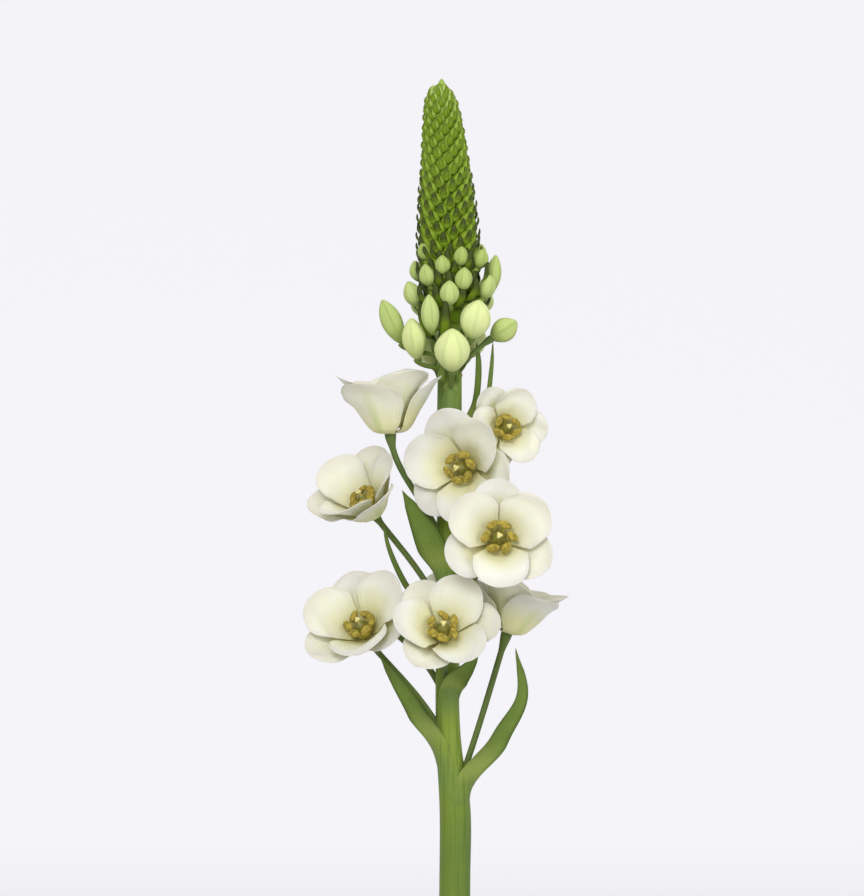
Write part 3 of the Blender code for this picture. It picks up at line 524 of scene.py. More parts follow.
def turned(radii, heights, sides, centre=np.zeros((1, 2)), skin=np.zeros(3), caps=(0.0, 0.0), finish=0):
    """One closed skin of rings, each its centre plus its radii times the cosine and the sine of
    the turn. The middle of the first and of the last ring, raised by the caps, closes it."""
    radii, heights = radii.reshape(len(radii), -1), heights.reshape(len(heights), -1)
    _, cosine, sine = circle(sides)
    rings = triples(radii * cosine, radii * sine, heights)
    rings[..., :2] += centre[:, None]
    first = rings[:1].mean(axis=1) + caps[0] * UPRIGHT
    last = rings[-1:].mean(axis=1) + caps[1] * UPRIGHT
    return round_skins(rings[None], first, last, skin, finish)


def tubes(paths, radii, sides, tint=0.5, finish=0):
    """Closed round tubes along paths: centre + radius x (across x cosine + upright x sine), where
    across is square to the plane that a path lies in. The skin numbers are the sine, the tint
    and the share along. paths is (count, rows, 3)."""
    along = unit(np.gradient(paths, axis=1))
    across = np.cross(along[:, 0], along[:, -1])
    flat = np.linalg.norm(across, axis=-1, keepdims=True) < 0.02
    across = unit(np.where(flat, np.cross(along[:, 0], (0.0, 1.0, 0.02)), across))[:, None]
    upright = unit(np.cross(along, across))
    _, cosine, sine = circle(sides)
    ring = across[:, :, None] * cosine[:, None] + upright[:, :, None] * sine[:, None]
    rings = paths[:, :, None] + ring * np.broadcast_to(radii, paths.shape[:2])[:, :, None, None]
    skin = triples(sine, tint, np.linspace(0.0, 1.0, paths.shape[1])[:, None])
    return round_skins(rings, paths[:, 0], paths[:, -1], skin, finish)


def carried(local, places, across, upright, along):
    """Local points of each copy, carried to its place and turned to its three axes."""
    return places[:, None, None] + local @ np.stack([across, upright, along], axis=1)[:, None]


def new_piece(name, skins, materials, slot, *nodes, place=np.eye(4)):
    """A mesh object of one or more skins, moved by a matrix. It rides on the root and stands for
    CAD nodes, unless it has no slot."""
    starts = np.cumsum([0] + [len(skin["points"]) for skin in skins])
    faces, finishes = [], []
    for kind in ("quads", "triangles"):
        for skin, start in zip(skins, starts):
            faces += (skin[kind] + start).tolist()
            finishes += [skin["finish"]] * len(skin[kind])
    points = np.concatenate([skin["points"] for skin in skins]) @ place[:3, :3].T + place[:3, 3]
    mesh = bpy.data.meshes.new(name)
    mesh.from_pydata(points, [], faces)
    mesh.polygons.foreach_set("material_index", finishes)
    mesh.shade_smooth()
    for label, kind, field in (("skin", "FLOAT_VECTOR", "vector"), ("inner", "FLOAT", "value")):
        numbers = np.concatenate([skin[label] for skin in skins]).ravel()
        mesh.attributes.new(label, kind, "POINT").data.foreach_set(field, numbers)
    for made in materials:
        mesh.materials.append(made)
    piece = bpy.data.objects.new(name, mesh)
    bpy.context.scene.collection.objects.link(piece)
    if slot:
        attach(piece, "root")
        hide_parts(*nodes)
    return piece


def plug(socket, value):
    """Links a socket to another one, or sets its value. None leaves it as it is."""
    if isinstance(value, bpy.types.NodeSocket):
        socket.id_data.links.new(value, socket)
    elif value is not None:
        socket.default_value = value


def add_node(tree, kind, *values, out=None, **settings):
    """Adds a node to a tree with its settings, and plugs values into its open sockets in turn.
    Returns the output of that name, or the first open one."""
    node = tree.nodes.new("ShaderNode" + kind)
    for setting, value in settings.items():
        setattr(node, setting, value)
    for socket, value in zip([socket for socket in node.inputs if socket.enabled], values):
        plug(socket, value)
    return node.outputs[out] if out else next(socket for socket in node.outputs if socket.enabled)


def new_material(name):
    """A material of this name, what adds a node to its tree, and the place on the object."""
    made = bpy.data.materials.new(name)
    made.use_nodes = True
    add = partial(add_node, made.node_tree)
    return made, add, add("TexCoord", out="Object")


def skin_numbers(add):
    """The three skin numbers of a point as sockets."""
    skin = add("Attribute", attribute_name="skin", out="Vector")
    return add("SeparateXYZ", skin).node.outputs


def layered(add, colour, *layers):
    """A colour with others laid over it in turn, each by its share."""
    for share, over in layers:
        colour = add("Mix", share, colour, over, **COLOURS)
    return colour


def finished(made, colour, roughness, ior, specular=0.5, relief=None, scatter=None, more=None):
    """The material with its shader's sockets set. Relief is a height, with the bump's strength
    and its depth in millimetres, and scatter the share of light that goes in, how far red, green
    and blue spread, and the scale of that in millimetres."""
    tree = made.node_tree
    sockets = {"Base Color": colour, "Roughness": roughness, "IOR": ior,
               "Specular IOR Level": specular, **(more or {})}
    if relief:
        height, strength, depth = relief
        sockets["Normal"] = add_node(tree, "Bump", strength, depth * MM, None, height)
    if scatter:
        weight, radii, scale = scatter
        sockets.update({"Subsurface Weight": weight, "Subsurface Radius": radii,
                        "Subsurface Scale": scale * MM})
    for name, value in sockets.items():
        plug(tree.nodes["Principled BSDF"].inputs[name], value)
    return made


# A pattern's scale counts its features per metre, so that 1250 sets them 0.8 mm apart


def glass_material(looks):
    """Blown soda-lime glass: clear and smooth, with the green that its iron gives in depth, and
    the faint unevenness of blowing, some 25 mm from swell to swell."""
    made, add, place = new_material("blown_soda_glass")
    swell = add("TexNoise", place, 40.0, 1.0)
    depth = add("VolumeAbsorption", looks.glass_depth, 9.0)
    plug(made.node_tree.nodes["Material Output"].inputs["Volume"], depth)
    return finished(made, looks.glass, 0.0, 1.52, relief=(swell, 0.25, 0.4),
                    more={"Transmission Weight": 1.0})


def water_material(looks):
    """Tap water: clear, with next to no tint."""
    made = bpy.data.materials.new("water")
    made.use_nodes = True
    return finished(made, looks.water, 0.0, 1.333, more={"Transmission Weight": 1.0})


def rind_colour(add, place, looks):
    """The stem's green as a socket, with its streaks and its patches: fine lengthwise streaks
    0.8 mm apart, bluer where the wax is thick, and darker lower down the stem."""
    long = add("Mapping", place, None, None, (1.0, 1.0, 0.03))
    streak = add("TexNoise", long, 1250.0, 2.0)
    patch = add("TexNoise", place, 45.0, 3.0)
    waxy = add("MapRange", patch, 0.42, 0.62)
    dark = add("MapRange", streak, 0.5, 0.78, 0.0, 0.55)
    height = add("SeparateXYZ", place, out="Z")
    # The stem's green darkens lower down, between the two heights
    lower_stem_darkening = add("MapRange", height, STEM_DARKENS_FROM, STEM_DARKEST_BELOW, 0.0, 0.42, **SOFT)
    green = layered(add, looks.rind, (waxy, looks.rind_blue), (dark, looks.rind_dark),
                    (lower_stem_darkening, looks.rind_dark))
    return green, streak, patch


def rind_material(looks):
    """A waxy green stem, duller on the stalks, whose second skin number is their share of the
    stalk's colour."""
    made, add, place = new_material("waxy_stem_rind")
    green, streak, patch = rind_colour(add, place, looks)
    _, stalk, _ = skin_numbers(add)
    gloss = add("MapRange", patch, 0.0, 1.0, 0.42, 0.62)
    return finished(made, layered(add, green, (stalk, looks.stalk)), gloss, 1.42, 0.15,
                    (streak, 0.5, 0.12), (0.12, (0.5, 1.0, 0.2), 0.8))


def leaf_material(looks):
    """A living bract: parallel veins, a darker margin, a paler foot, and the stem's own green
    where it clasps the stem."""
    made, add, place = new_material("bract_leaf")
    across, _, along = skin_numbers(add)
    # Eleven veins across the blade, which makes them 0.7 mm apart where it is widest
    turn = add("Math", across, 11 * math.pi, **TIMES)
    vein = add("MapRange", add("Math", turn, operation="COSINE"), -1.0, 1.0)
    patch = add("TexNoise", place, 320.0, 4.0)
    light = add("Math", vein, patch, 0.3, **TIMES_PLUS)
    side = add("Math", across, operation="ABSOLUTE")
    margin = add("MapRange", side, 0.6, 1.0, 0.0, 0.9)
    rising = add("MapRange", along, 0.12, 0.24, **SOFT)
    falling = add("MapRange", along, 0.5, 0.24, 0.0, 0.6, **SOFT)
    paler = add("Math", rising, falling, **TIMES)
    clasp = add("MapRange", along, 0.34, 0.13, **SOFT)
    green, _, _ = rind_colour(add, place, looks)
    colour = layered(add, looks.leaf_dark, (light, looks.leaf), (margin, looks.leaf_dark),
                     (paler, looks.leaf_foot), (clasp, green))
    return finished(made, colour, 0.5, 1.42, 0.2, (vein, 0.4, 0.15), (0.15, (0.5, 1.0, 0.2), 0.6))


def tepal_material(looks):
    """Tepal tissue: thin, white and satiny, lit from inside, with fine veins, greyer margins,
    a cream throat round an olive centre, which is partly the tepals' own olive and partly painted
    shade deep in the cup, cool and warm patches, and a green mid stripe on the outer face."""
    made, add, place = new_material("tepal_tissue")
    across, tint, along = skin_numbers(add)
    inner = add("Attribute", attribute_name="inner", out="Fac")
    patch = add("TexNoise", place, 110.0, 3.0)
    warm = add("Math", patch, tint, operation="ADD")
    cool = add("MapRange", warm, 0.7, 1.3)
    side = add("Math", across, operation="ABSOLUTE")
    edge = add("Math", side, along, operation="MAXIMUM")
    thin = add("MapRange", edge, 0.72, 1.0, 0.0, 0.6, **SOFT)
    # Nineteen veins across the tepal, 0.7 mm apart where it is widest, slightly wandering
    wander = add("Math", patch, 9.0, **TIMES)
    turn = add("Math", across, 19 * math.pi, wander, **TIMES_PLUS)
    vein = add("MapRange", add("Math", turn, operation="COSINE"), 0.45, 1.0, **SOFT)
    fading = add("MapRange", along, 1.0, 0.1, 0.05, 0.4)
    drawn = add("Math", vein, fading, **TIMES)
    # The throat's edge wanders by a tenth of the tepal's length, and reaches further on some tepals
    further = add("Math", tint, -0.24, along, **TIMES_PLUS)
    ragged = add("Math", patch, 0.2, further, **TIMES_PLUS)
    throat = add("MapRange", ragged, 0.78, 0.18, 0.0, 0.95, **SOFT)
    # The olive at the tepals' feet, on the inner face only, is partly their own colour and partly painted
    # shade deep in the throat
    near = add("Math", patch, 0.2, along, **TIMES_PLUS)
    foot = add("MapRange", near, 0.36, 0.22, 0.0, 0.6, **SOFT)
    eye = add("Math", foot, inner, **TIMES)
    stripe = add("MapRange", side, 0.26, 0.04, **SOFT)
    outer = add("Math", 1.0, inner, operation="SUBTRACT")
    back = add("Math", stripe, outer, **TIMES)
    upward = add("MapRange", along, 0.95, 0.25, 0.05, 0.55)
    shown = add("Math", back, upward, **TIMES)
    base = add("MapRange", along, 0.12, 0.02, 0.0, 0.6)
    green = add("Math", shown, base, operation="MAXIMUM")
    colour = layered(add, looks.white, (cool, looks.cool), (thin, looks.rim), (drawn, looks.vein),
                     (throat, looks.cream), (eye, looks.eye), (green, looks.green))
    # The cells of the skin are too fine to show, so they are drawn 0.5 mm wide
    cells = add("TexVoronoi", place, 2000.0)
    height = add("Math", cells, 0.15, vein, **TIMES_PLUS)
    return finished(made, colour, 0.5, 1.4, 0.3, (height, 0.35, 0.12), (0.35, (1.0, 0.9, 0.6), 0.9))


def ovary_material(looks):
    """The ovary's glossy wall: dark olive, paler on its shoulders, with faint mottling."""
    made, add, place = new_material("ovary_wall")
    _, _, along = skin_numbers(add)
    mottle = add("TexNoise", place, 1400.0, 2.0)
    high = add("MapRange", along, 0.45, 1.0, 0.0, 0.6)
    shoulder = add("Math", high, mottle, **TIMES)
    return finished(made, layered(add, looks.ovary, (shoulder, looks.ovary_tip)), 0.28, 1.45)


def filament_material(looks):
    """The stamens' filaments and the stigma: pale waxy tissue, greener at the foot. The second
    skin number is the share of the stigma's colour."""
    made, add, place = new_material("filament_tissue")
    _, stigma, along = skin_numbers(add)
    grain = add("TexNoise", place, 1800.0, 2.0)
    foot = add("MapRange", along, 0.5, 0.0, 0.0, 0.45)
    greener = add("Math", foot, grain, **TIMES)
    colour = layered(add, looks.filament, (greener, looks.ovary_tip), (stigma, looks.stigma))
    return finished(made, colour, 0.42, 1.4, relief=(grain, 0.3, 0.08),
                    scatter=(0.2, (1.0, 0.8, 0.4), 0.5))


def pollen_material(looks):
    """Open anthers: an olive wall dusted with yellow pollen, whose grains are drawn 0.35 mm wide."""
    made, add, place = new_material("pollen_dusted_anther")
    dust = add("TexVoronoi", place, 2900.0)
    bare = add("MapRange", add("TexNoise", place, 900.0, 3.0), 0.4, 0.6)
    grain = add("MapRange", dust, 0.1, 0.6, 1.0, 0.35)
    shown = add("Math", bare, grain, **TIMES)
    return finished(made, layered(add, looks.anther, (shown, looks.pollen)), 0.75, 1.4,
                    relief=(grain, 0.8, 0.15))


def bud_material(looks):
    """A bud's skin: closed tepals with deep green ribs and foot, cream between them as it swells.
    The skin numbers are the cosine of six turns round the bud, its paleness and the share along."""
    made, add, place = new_material("bud_skin")
    rib, pale, along = skin_numbers(add)
    patch = add("TexNoise", place, 420.0, 3.0)
    ribs = add("MapRange", rib, 0.35, 1.0, 0.0, 0.42, **SOFT)
    foot = add("MapRange", along, 0.42, 0.0, 0.0, 0.9, **SOFT)
    tip = add("MapRange", along, 0.9, 1.0, 0.0, 0.45)
    deep = add("Math", ribs, foot, operation="MAXIMUM")
    deeper = add("Math", deep, tip, operation="MAXIMUM")
    uneven = add("MapRange", patch, 0.3, 0.7, 0.65, 1.1)
    shown = add("Math", deeper, uneven, **TIMES, use_clamp=True)
    # A pale bud keeps only a trace of its ribs
    kept = add("MapRange", pale, 0.0, 1.0, 1.0, 0.38)
    drawn = add("Math", shown, kept, **TIMES)
    colour = layered(add, looks.green, (pale, looks.cream), (drawn, looks.rib))
    height = add("Math", patch, 0.4, ribs, **TIMES_PLUS)
    return finished(made, colour, 0.5, 1.42, 0.2, (height, 0.35, 0.15), (0.2, (0.8, 1.0, 0.4), 0.8))


def scale_material(looks):
    """The small bracts of the spike: green scales whose tips have dried brown, most of all at
    the spike's foot, as their second skin number says."""
    made, add, place = new_material("spike_scale")
    _, age, along = skin_numbers(add)
    patch = add("TexNoise", place, 700.0, 3.0)
    tip = add("MapRange", along, 0.35, 0.9, 0.3, 1.3)
    dry = add("Math", tip, age, **TIMES)
    brown = add("Math", dry, patch, dry, **TIMES_PLUS, use_clamp=True)
    return finished(made, layered(add, looks.green, (brown, looks.bract_tip)), 0.6, 1.4, 0.2,
                    (patch, 0.3, 0.1))


def paper_material(looks):
    """Seamless backdrop paper: matt, with a faint tooth. Its glow grows towards the backdrop,
    where the lamps don't reach, so that the far paper is as even as in a catalogue picture."""
    made, add, place = new_material("backdrop_paper")
    tooth = add("TexNoise", place, 900.0, 2.0)
    reach = add("VectorMath", place, operation="LENGTH")
    glow = add("MapRange", reach, 0.8, 2.4, 0.09, looks.paper_glow, **SOFT)
    return finished(made, looks.paper, 0.9, 1.5, relief=(tooth, 0.05, 0.1),
                    more={"Emission Color": looks.paper, "Emission Strength": glow})


def outer_radius(height):
    """The vase's outer radius: the smooth curve, made smaller so that its belly, which swells a
    little past the knots, is no wider than the packed model's."""
    belly = through(VASE_HEIGHTS, VASE_RADII, np.linspace(*VASE_HEIGHTS[[0, -1]], 400)).max()
    return through(VASE_HEIGHTS, VASE_RADII, height) * VASE_RADII.max() / belly


def inner_radius(height, wall):
    """The vase's inner radius: the outer one less the wall, pinched round above the heavy foot."""
    heavy = np.clip(1 - (height - VASE_FLOOR) / HEAVY_FOOT_HEIGHT, 0.0, 1.0) ** 2.5
    return outer_radius(height) - wall - HEAVY_FOOT * heavy


def vase_skin(looks):
    """The vase turned from its outline: a foot that is hollow underneath, the outer wall, a lip
    rounded like half a circle, the inner wall and the inner floor."""
    bead = looks.wall / 2
    turn = np.linspace(0.0, math.pi, LIP_RINGS)
    lip = LIP_OUTER_RADIUS - bead + np.cos(turn) * bead, VASE_TOP - bead + np.sin(turn) * bead
    rise = np.linspace(OUTER_WALL_START, VASE_HEIGHTS[-1], WALL_RINGS)
    fall = np.linspace(VASE_HEIGHTS[-1], INNER_WALL_START, WALL_RINGS)
    inner = inner_radius(fall, looks.wall)
    floor = FLOOR_RINGS * inner[-1], 0 * FLOOR_RINGS + VASE_FLOOR
    outline = [VASE_UNDERSIDE, (outer_radius(rise), rise), lip, (inner, fall), floor]
    return turned(*np.concatenate(outline, axis=1), TURNED_SIDES)


def water_skin(looks):
    """The water: rings that follow the glass up, cross the surface to the stem, and go down
    inside it. The surface is level plus an exponential rise towards the glass and the stem."""
    level, climb, share = looks.water_level, looks.meniscus, WATER_SURFACE_RINGS
    rise = np.linspace(WATER_SIDE_START, level + climb, WATER_SIDE_RINGS)
    side = inner_radius(rise, looks.wall) + WATER_LAP
    bottom = WATER_BOTTOM_RINGS * side[0]
    stem = through(STEM_HEIGHTS, STEM_RADII, level) - WATER_LAP
    reach = side[-1] * (1 - share) + stem * share
    lift = climb * (np.exp(-(side[-1] - reach) / climb) + np.exp(-(reach - stem) / climb))
    fall = np.linspace(level + climb, WATER_HOLE_BOTTOM, WATER_HOLE_RINGS)
    outline = [(bottom, 0 * bottom + VASE_FLOOR - WATER_LAP), (side, rise), (reach, level + lift),
               (through(STEM_HEIGHTS, STEM_RADII, fall) - WATER_LAP, fall)]
    radii, heights = np.concatenate(outline, axis=1)
    follows = np.concatenate([0 * bottom, 0 * side, ease(share), 0 * fall + 1])[:, None]
    return turned(radii, heights, TURNED_SIDES, stem_centre(heights)[:, :2] * follows)


def stem_skin():
    """The stem: level rings along its centre line, with shallow ribs that are cosines of the
    turn, and a slanting cut whose slope dies out further up."""
    rows = np.linspace(STEM_HEIGHTS[0], STEM_HEIGHTS[-1] + STEM_IN_SPIKE, STEM_RINGS)
    turn, cosine, _ = circle(STEM_SIDES)
    ribs = 1
    for depth, number, twist, first in STEM_RIBS:
        ribs = ribs + depth * np.cos(number * turn + twist * rows[:, None] + first)
    radii = through(STEM_HEIGHTS, STEM_RADII, rows)[:, None] * ribs
    slope = STEM_CUT_SLOPE * (1 - ease((rows - rows[0]) / STEM_CUT_HEIGHT))[:, None]
    heights = rows[:, None] + (radii * cosine + STEM_RADII[0]) * slope
    return turned(radii, heights, STEM_SIDES, stem_centre(rows)[:, :2], (0.0, 0.0, 0.5))


def stalk_skin(axils, ends, ways, radius, form):
    """Stalks as tubes along cubic curves: each leaves the stem's centre line at its axil, out and
    up, comes in to its end along its way, and eases into a wider foot and a wider top."""
    count, sides, tint, foot, foot_share, top, top_start, top_share = form
    start = stem_centre(axils)
    outward, upward = STALK_LEAVES
    leave = unit((ends - start) * (1.0, 1.0, 0.0)) * outward + UPRIGHT * upward
    reach = np.linalg.norm(ends - start, axis=1, keepdims=True)
    first = start + leave * reach * START_PULL
    second = ends - ways * reach * END_PULL
    share = np.linspace(0.0, 1.0, count)
    t = share[None, :, None]
    near = (1 - t) ** 3 * start[:, None] + 3 * (1 - t) ** 2 * t * first[:, None]
    paths = near + 3 * (1 - t) * t**2 * second[:, None] + t**3 * ends[:, None]
    swell = foot * (1 - ease(share / foot_share)) + top * ease((share - top_start) / top_share)
    return tubes(paths, radius * (1.0 + swell), sides, tint)


def stalk_skins(looks):
    """The stalks of the blooms, and those of the large buds, thicker under wider buds."""
    seats, azimuth, rise, _, _, _, axils = columns_of(BLOOMS)
    ways = facing(azimuth, rise)
    ends = (seats + ways * SEAT_GRIP) * MM
    blooms = stalk_skin(axils * MM, ends, ways, looks.stalk_radius, BLOOM_STALK)
    centres, azimuth, rise, lengths, widths, axils, _ = columns_of(BUDS)
    ways = facing(azimuth, rise)
    ends = (centres - ways * (lengths[:, None] / 2 - BUD_GRIP)) * MM
    radii = (BUD_STALK_RADIUS + BUD_STALK_PER_WIDTH * widths[:, None]) * MM
    return [blooms, stalk_skin(axils * MM, ends, ways, radii, BUD_STALK)]


def bract_middle(line, half_widths, outward):
    """A bract's middle grid. The free blade is its centre line plus the way across times the
    width, pushed back by the square of the share across, so that it is hollow towards the stem.
    Its foot is arcs that rise out of the stem's surface, half as wide again as the blade, and
    they ease into the free blade over nearly half of its length."""
    knots, share, across = np.linspace(0.0, 1.0, len(line)), BRACT_ALONG, BRACT_ACROSS[:, None]
    centre = np.stack([through(knots, axis, share) for axis in columns_of(line)], axis=1)
    widths = np.maximum(through(knots, np.array(half_widths), share), THINNEST_BRACT)
    widths = widths * np.sqrt(np.clip((1 - share) / BRACT_POINT, 0.0004, 1.0))
    along = unit(np.gradient(centre, axis=0))
    side = unit(np.cross(along, outward))
    back = unit(np.cross(side, along))
    free = side[:, None] * across + back[:, None] * BRACT_HOLLOW * across**2
    free = centre[:, None] + free * widths[:, None, None]
    height = free[:, len(BRACT_ACROSS) // 2, 2]
    x, y, _ = stem_centre(height * MM).T[..., None] / MM
    emerging = CLASP_RISE * ease(share / CLASP_RISE_SHARE) - CLASP_DEPTH
    radius = through(STEM_HEIGHTS, STEM_RADII, height * MM) / MM + emerging
    spread = np.minimum(CLASP_WIDTH * widths / radius, CLASP_HALF_ANGLE)[:, None]
    angle = math.atan2(outward[0], -outward[1]) + BRACT_ACROSS * spread
    arcs = triples(x + radius[:, None] * np.sin(angle), y - radius[:, None] * np.cos(angle),
                   height[:, None] - CLASP_SAG * BRACT_ACROSS**2)
    start, length = CLASP_FADES
    blend = ease((share - start) / length)[:, None, None]
    return (arcs * (1 - blend) + free * blend) * MM


def short_bract(place, axil, form):
    """The middle grid of a short bract of a form, which leaves the stem towards a place."""
    line, half_widths, above = form
    foot = stem_centre((axil + above) * MM) / MM
    out = unit((np.array(place) - foot) * (1.0, 1.0, 0.0))
    return bract_middle([foot + out * reach + UPRIGHT * lift for reach, lift in line], half_widths, out)


def bract_skin(looks):
    """The large bracts, and short ones under the other blooms and under the large buds."""
    grids = [bract_middle(line, half_widths, outward) for line, half_widths, outward in BRACTS]
    grids += [short_bract(row[0], row[-1], BLOOM_BRACT) for number, row in enumerate(BLOOMS, 1)
              if number not in BARE_STALKS]
    grids += [short_bract(row[0], row[-2], BUD_BRACT) for row in BUDS]
    along = BRACT_ALONG[:, None]
    thickness = looks.leaf_thickness * (1 - 0.75 * BRACT_ACROSS**2) * (1 - 0.5 * along)
    return leaf_skins(np.stack(grids), thickness, triples(BRACT_ACROSS, 0.5, along), finish=1)


def bowl_profile(openness, lean, share):
    """Radius, height and slope of a tepal's centre line, per unit of its length: the sums of
    the slope's cosine and sine, where the slope eases from the foot's to the steepest at three
    tenths, and from there to the tip's."""
    steepest = CUP_STEEPEST - CUP_OPENS * openness
    tip = TIP_STEEPEST - TIP_OPENS * openness
    fine = np.linspace(0.0, 1.0, 81)
    slope = FOOT_SLOPE + (steepest - FOOT_SLOPE) * ease(fine / 0.3)
    slope = slope + (tip - steepest) * ease((fine - 0.3) / 0.7)
    slope = np.radians(slope) + lean * ease(fine / 0.25)
    steps = np.stack([np.cos(slope), np.sin(slope)]) * fine[1] / 2
    sums = np.cumsum(steps[:, 1:] + steps[:, :-1], axis=1)
    radius, height = np.concatenate([np.zeros((2, 1)), sums], axis=1)
    return [np.interp(share, fine, values) for values in (radius, height, slope)]


def tepal_width(share):
    """Half width of a tepal at shares of its length, 1 at its widest: a sine up to six tenths,
    then the root of one less a cube, down to a small blunt tip."""
    lower = 0.14 + 0.86 * np.sin(np.clip(share / 0.62, 0, 1) * math.pi / 2) ** 1.2
    upper = np.sqrt(np.clip(1 - (np.clip(share - 0.62, 0, 1) / 0.38) ** 2.9, 0.0009, 1))
    return np.minimum(lower, upper)


def tepal_middle(width, openness, lean, turn, outer, wave, rng):
    """The middle grid of one tepal on its bowl of revolution, and the outer whorl's bowl lies
    outside the inner one's. A channel follows its midrib, its margins roll and wave, and a slow
    swell runs slantwise over its upper part."""
    share, across = TEPAL_ALONG, TEPAL_ACROSS
    turn = turn + rng.uniform(-TEPAL_STRAYS, TEPAL_STRAYS)
    full, _, _ = bowl_profile(openness, 0.0, 1.0)
    length = (width / 2 - TEPAL_START) / full * rng.uniform(SHORTEST_TEPAL, 1.0)
    radius, height, slope = bowl_profile(openness, lean, share)
    drop = OUTER_WHORL_GAP * ease(share / 0.2) if outer else 0.0
    radius = TEPAL_START + radius * length + drop * np.sin(slope)
    height = (OUTER_TEPAL_FOOT if outer else INNER_TEPAL_FOOT) + height * length - drop * np.cos(slope)
    breadth = tepal_width(share)
    half = breadth * TEPAL_HALF_WIDTH * length * (OUTER_WHORL_WIDTH if outer else 1.0)
    spread = np.maximum(radius, WHORL_MIN_RADIUS)
    angle = turn + across * np.minimum(half / spread, WHORL_HALF_ANGLE)
    high = ease((share - 0.35) / 0.5) * breadth
    phase, ripples, roll = rng.uniform(0, 2 * math.pi), rng.uniform(1.2, 2.6), rng.uniform(-0.9, 1.1)
    channel = MIDRIB_CHANNEL * np.exp(-(across / 0.2) ** 2) * np.sin(math.pi * share)
    margin = wave * np.abs(across) ** 3 * np.sin(2 * math.pi * ripples * share + phase + 2 * across)
    curl = roll * MARGIN_CURL * across**2
    swell = CRUMPLE * np.sin(2 * math.pi * (1.4 * share + 0.6 * across) + 2 * phase)
    raised = (margin + curl + swell) * high - channel
    radius = radius - raised * np.sin(slope)
    return triples(radius * np.cos(angle), radius * np.sin(angle), height + raised * np.cos(slope))


def tepal_skins(width, openness, looks, rng):
    """Six tepals of a bloom, three outer and three inner, and the seat that they grow from."""
    leans = [rng.uniform(0.0, LEAN_RANGE) * (-1 if tepal % 2 == 0 else 1) for tepal in range(6)]
    middle = np.stack([tepal_middle(width * MM, openness, lean, math.radians(90 + 60 * tepal),
                                    tepal % 2 == 0, looks.wave, rng) for tepal, lean in enumerate(leans)])
    thickness = looks.thickness * (1 - 0.6 * TEPAL_ACROSS**2) * (1 - 0.45 * TEPAL_ALONG)
    skin = triples(TEPAL_ACROSS, rng.uniform(0.0, 1.0, 6)[:, None, None], TEPAL_ALONG)
    seat = triples(0.0, 0.0, SEAT_HEIGHTS)[None]
    return [leaf_skins(middle, thickness, skin), tubes(seat, SEAT_RADII[None], 18)]


def stamen_skins(size, spread, rng):
    """Six stamens: filaments that lean out as tapering stalks, each with an anther across its
    tip, which is an ellipsoid pinched by a groove along both faces."""
    turn = np.radians(60 + 60 * np.arange(6)) + rng.uniform(-0.1, 0.1, 6)
    out = triples(np.cos(turn), np.sin(turn), 0.0)
    share = np.linspace(0.0, 1.0, 14)
    reach = (1.3 + 2.9 * ease(share * 0.75 + 0.1)) * spread * size * MM
    height = (0.4 + 4.4 * share) * size * MM
    paths = out[:, None] * reach[:, None] + UPRIGHT * height[:, None]
    filaments = tubes(paths, (1.3 - 0.95 * ease(share)) * size * MM, 10, 0.0, finish=1)
    swing = rng.uniform(-0.7, 0.7, 6)[:, None]
    lift = rng.uniform(-0.35, 0.35, 6)[:, None] * UPRIGHT
    ways = unit(np.cross(UPRIGHT, out) * np.cos(swing) + out * np.sin(swing) + lift)
    beside = unit(np.cross(out * 0.5 + UPRIGHT, ways))
    share = -np.cos(np.linspace(0.06, 0.94, 11) * math.pi)[:, None]
    _, cosine, sine = circle(16)
    swell = np.sqrt(1 - share**2) * (1 - 0.25 * np.exp(-(sine / 0.3) ** 2) * np.abs(cosine))
    half = ANTHER_SIZE * size / 2
    local = triples(swell * cosine, swell * sine, share) * half
    centres = paths[:, -1] + UPRIGHT * 0.35 * MM * size
    rings = carried(local, centres, unit(np.cross(ways, beside)), beside, ways)
    anthers = round_skins(rings, centres - ways * half[2], centres + ways * half[2],
                          (0.0, 0.5, 0.5), finish=2)
    return [filaments, anthers]


def heart_skins(width, openness, rng):
    """A bloom's ovary, style and stamens; a cup holds its stamens closer. The ovary is a
    six-furrowed egg, half its width times the 0.7th power of a sine of its length, and the style
    a short column that ends in three rounded lobes."""
    size = min(1.0, width / FULL_BLOOM_WIDTH)
    spread = CLOSED_STAMEN_SPREAD + (1 - CLOSED_STAMEN_SPREAD) * openness
    share = np.sin(np.linspace(0.02, 1.0, 16) * math.pi / 2)[:, None]
    bulge = np.where(share < 0.45, share / 0.45, (1 - share) / 0.55)
    radii = OVARY_WIDTH / 2 * size * np.sin(np.clip(bulge, 0.01, 1) * math.pi / 2) ** EGG_POWER
    turn, _, _ = circle(36)
    furrows = 1 - 0.09 * (0.5 + 0.5 * np.cos(6 * turn)) ** 2
    heights = share * OVARY_LENGTH * size
    ovary = turned(radii * furrows, heights, 36, skin=triples(np.cos(6 * turn), 0.5, share),
                   caps=(-heights[0, 0], 0.0))
    turn, _, _ = circle(18)
    lobes = 1 + 0.28 * np.cos(3 * turn) * ease((STYLE_HEIGHTS[:, None] - LOBES_START) / MM)
    stigma = turned(STYLE_RADII[:, None] * size * lobes, STYLE_HEIGHTS * size, 18,
                    skin=(0.0, 1.0, 1.0), caps=(0.0, 0.02 * MM), finish=1)
    return [ovary, stigma] + stamen_skins(size, spread, rng)


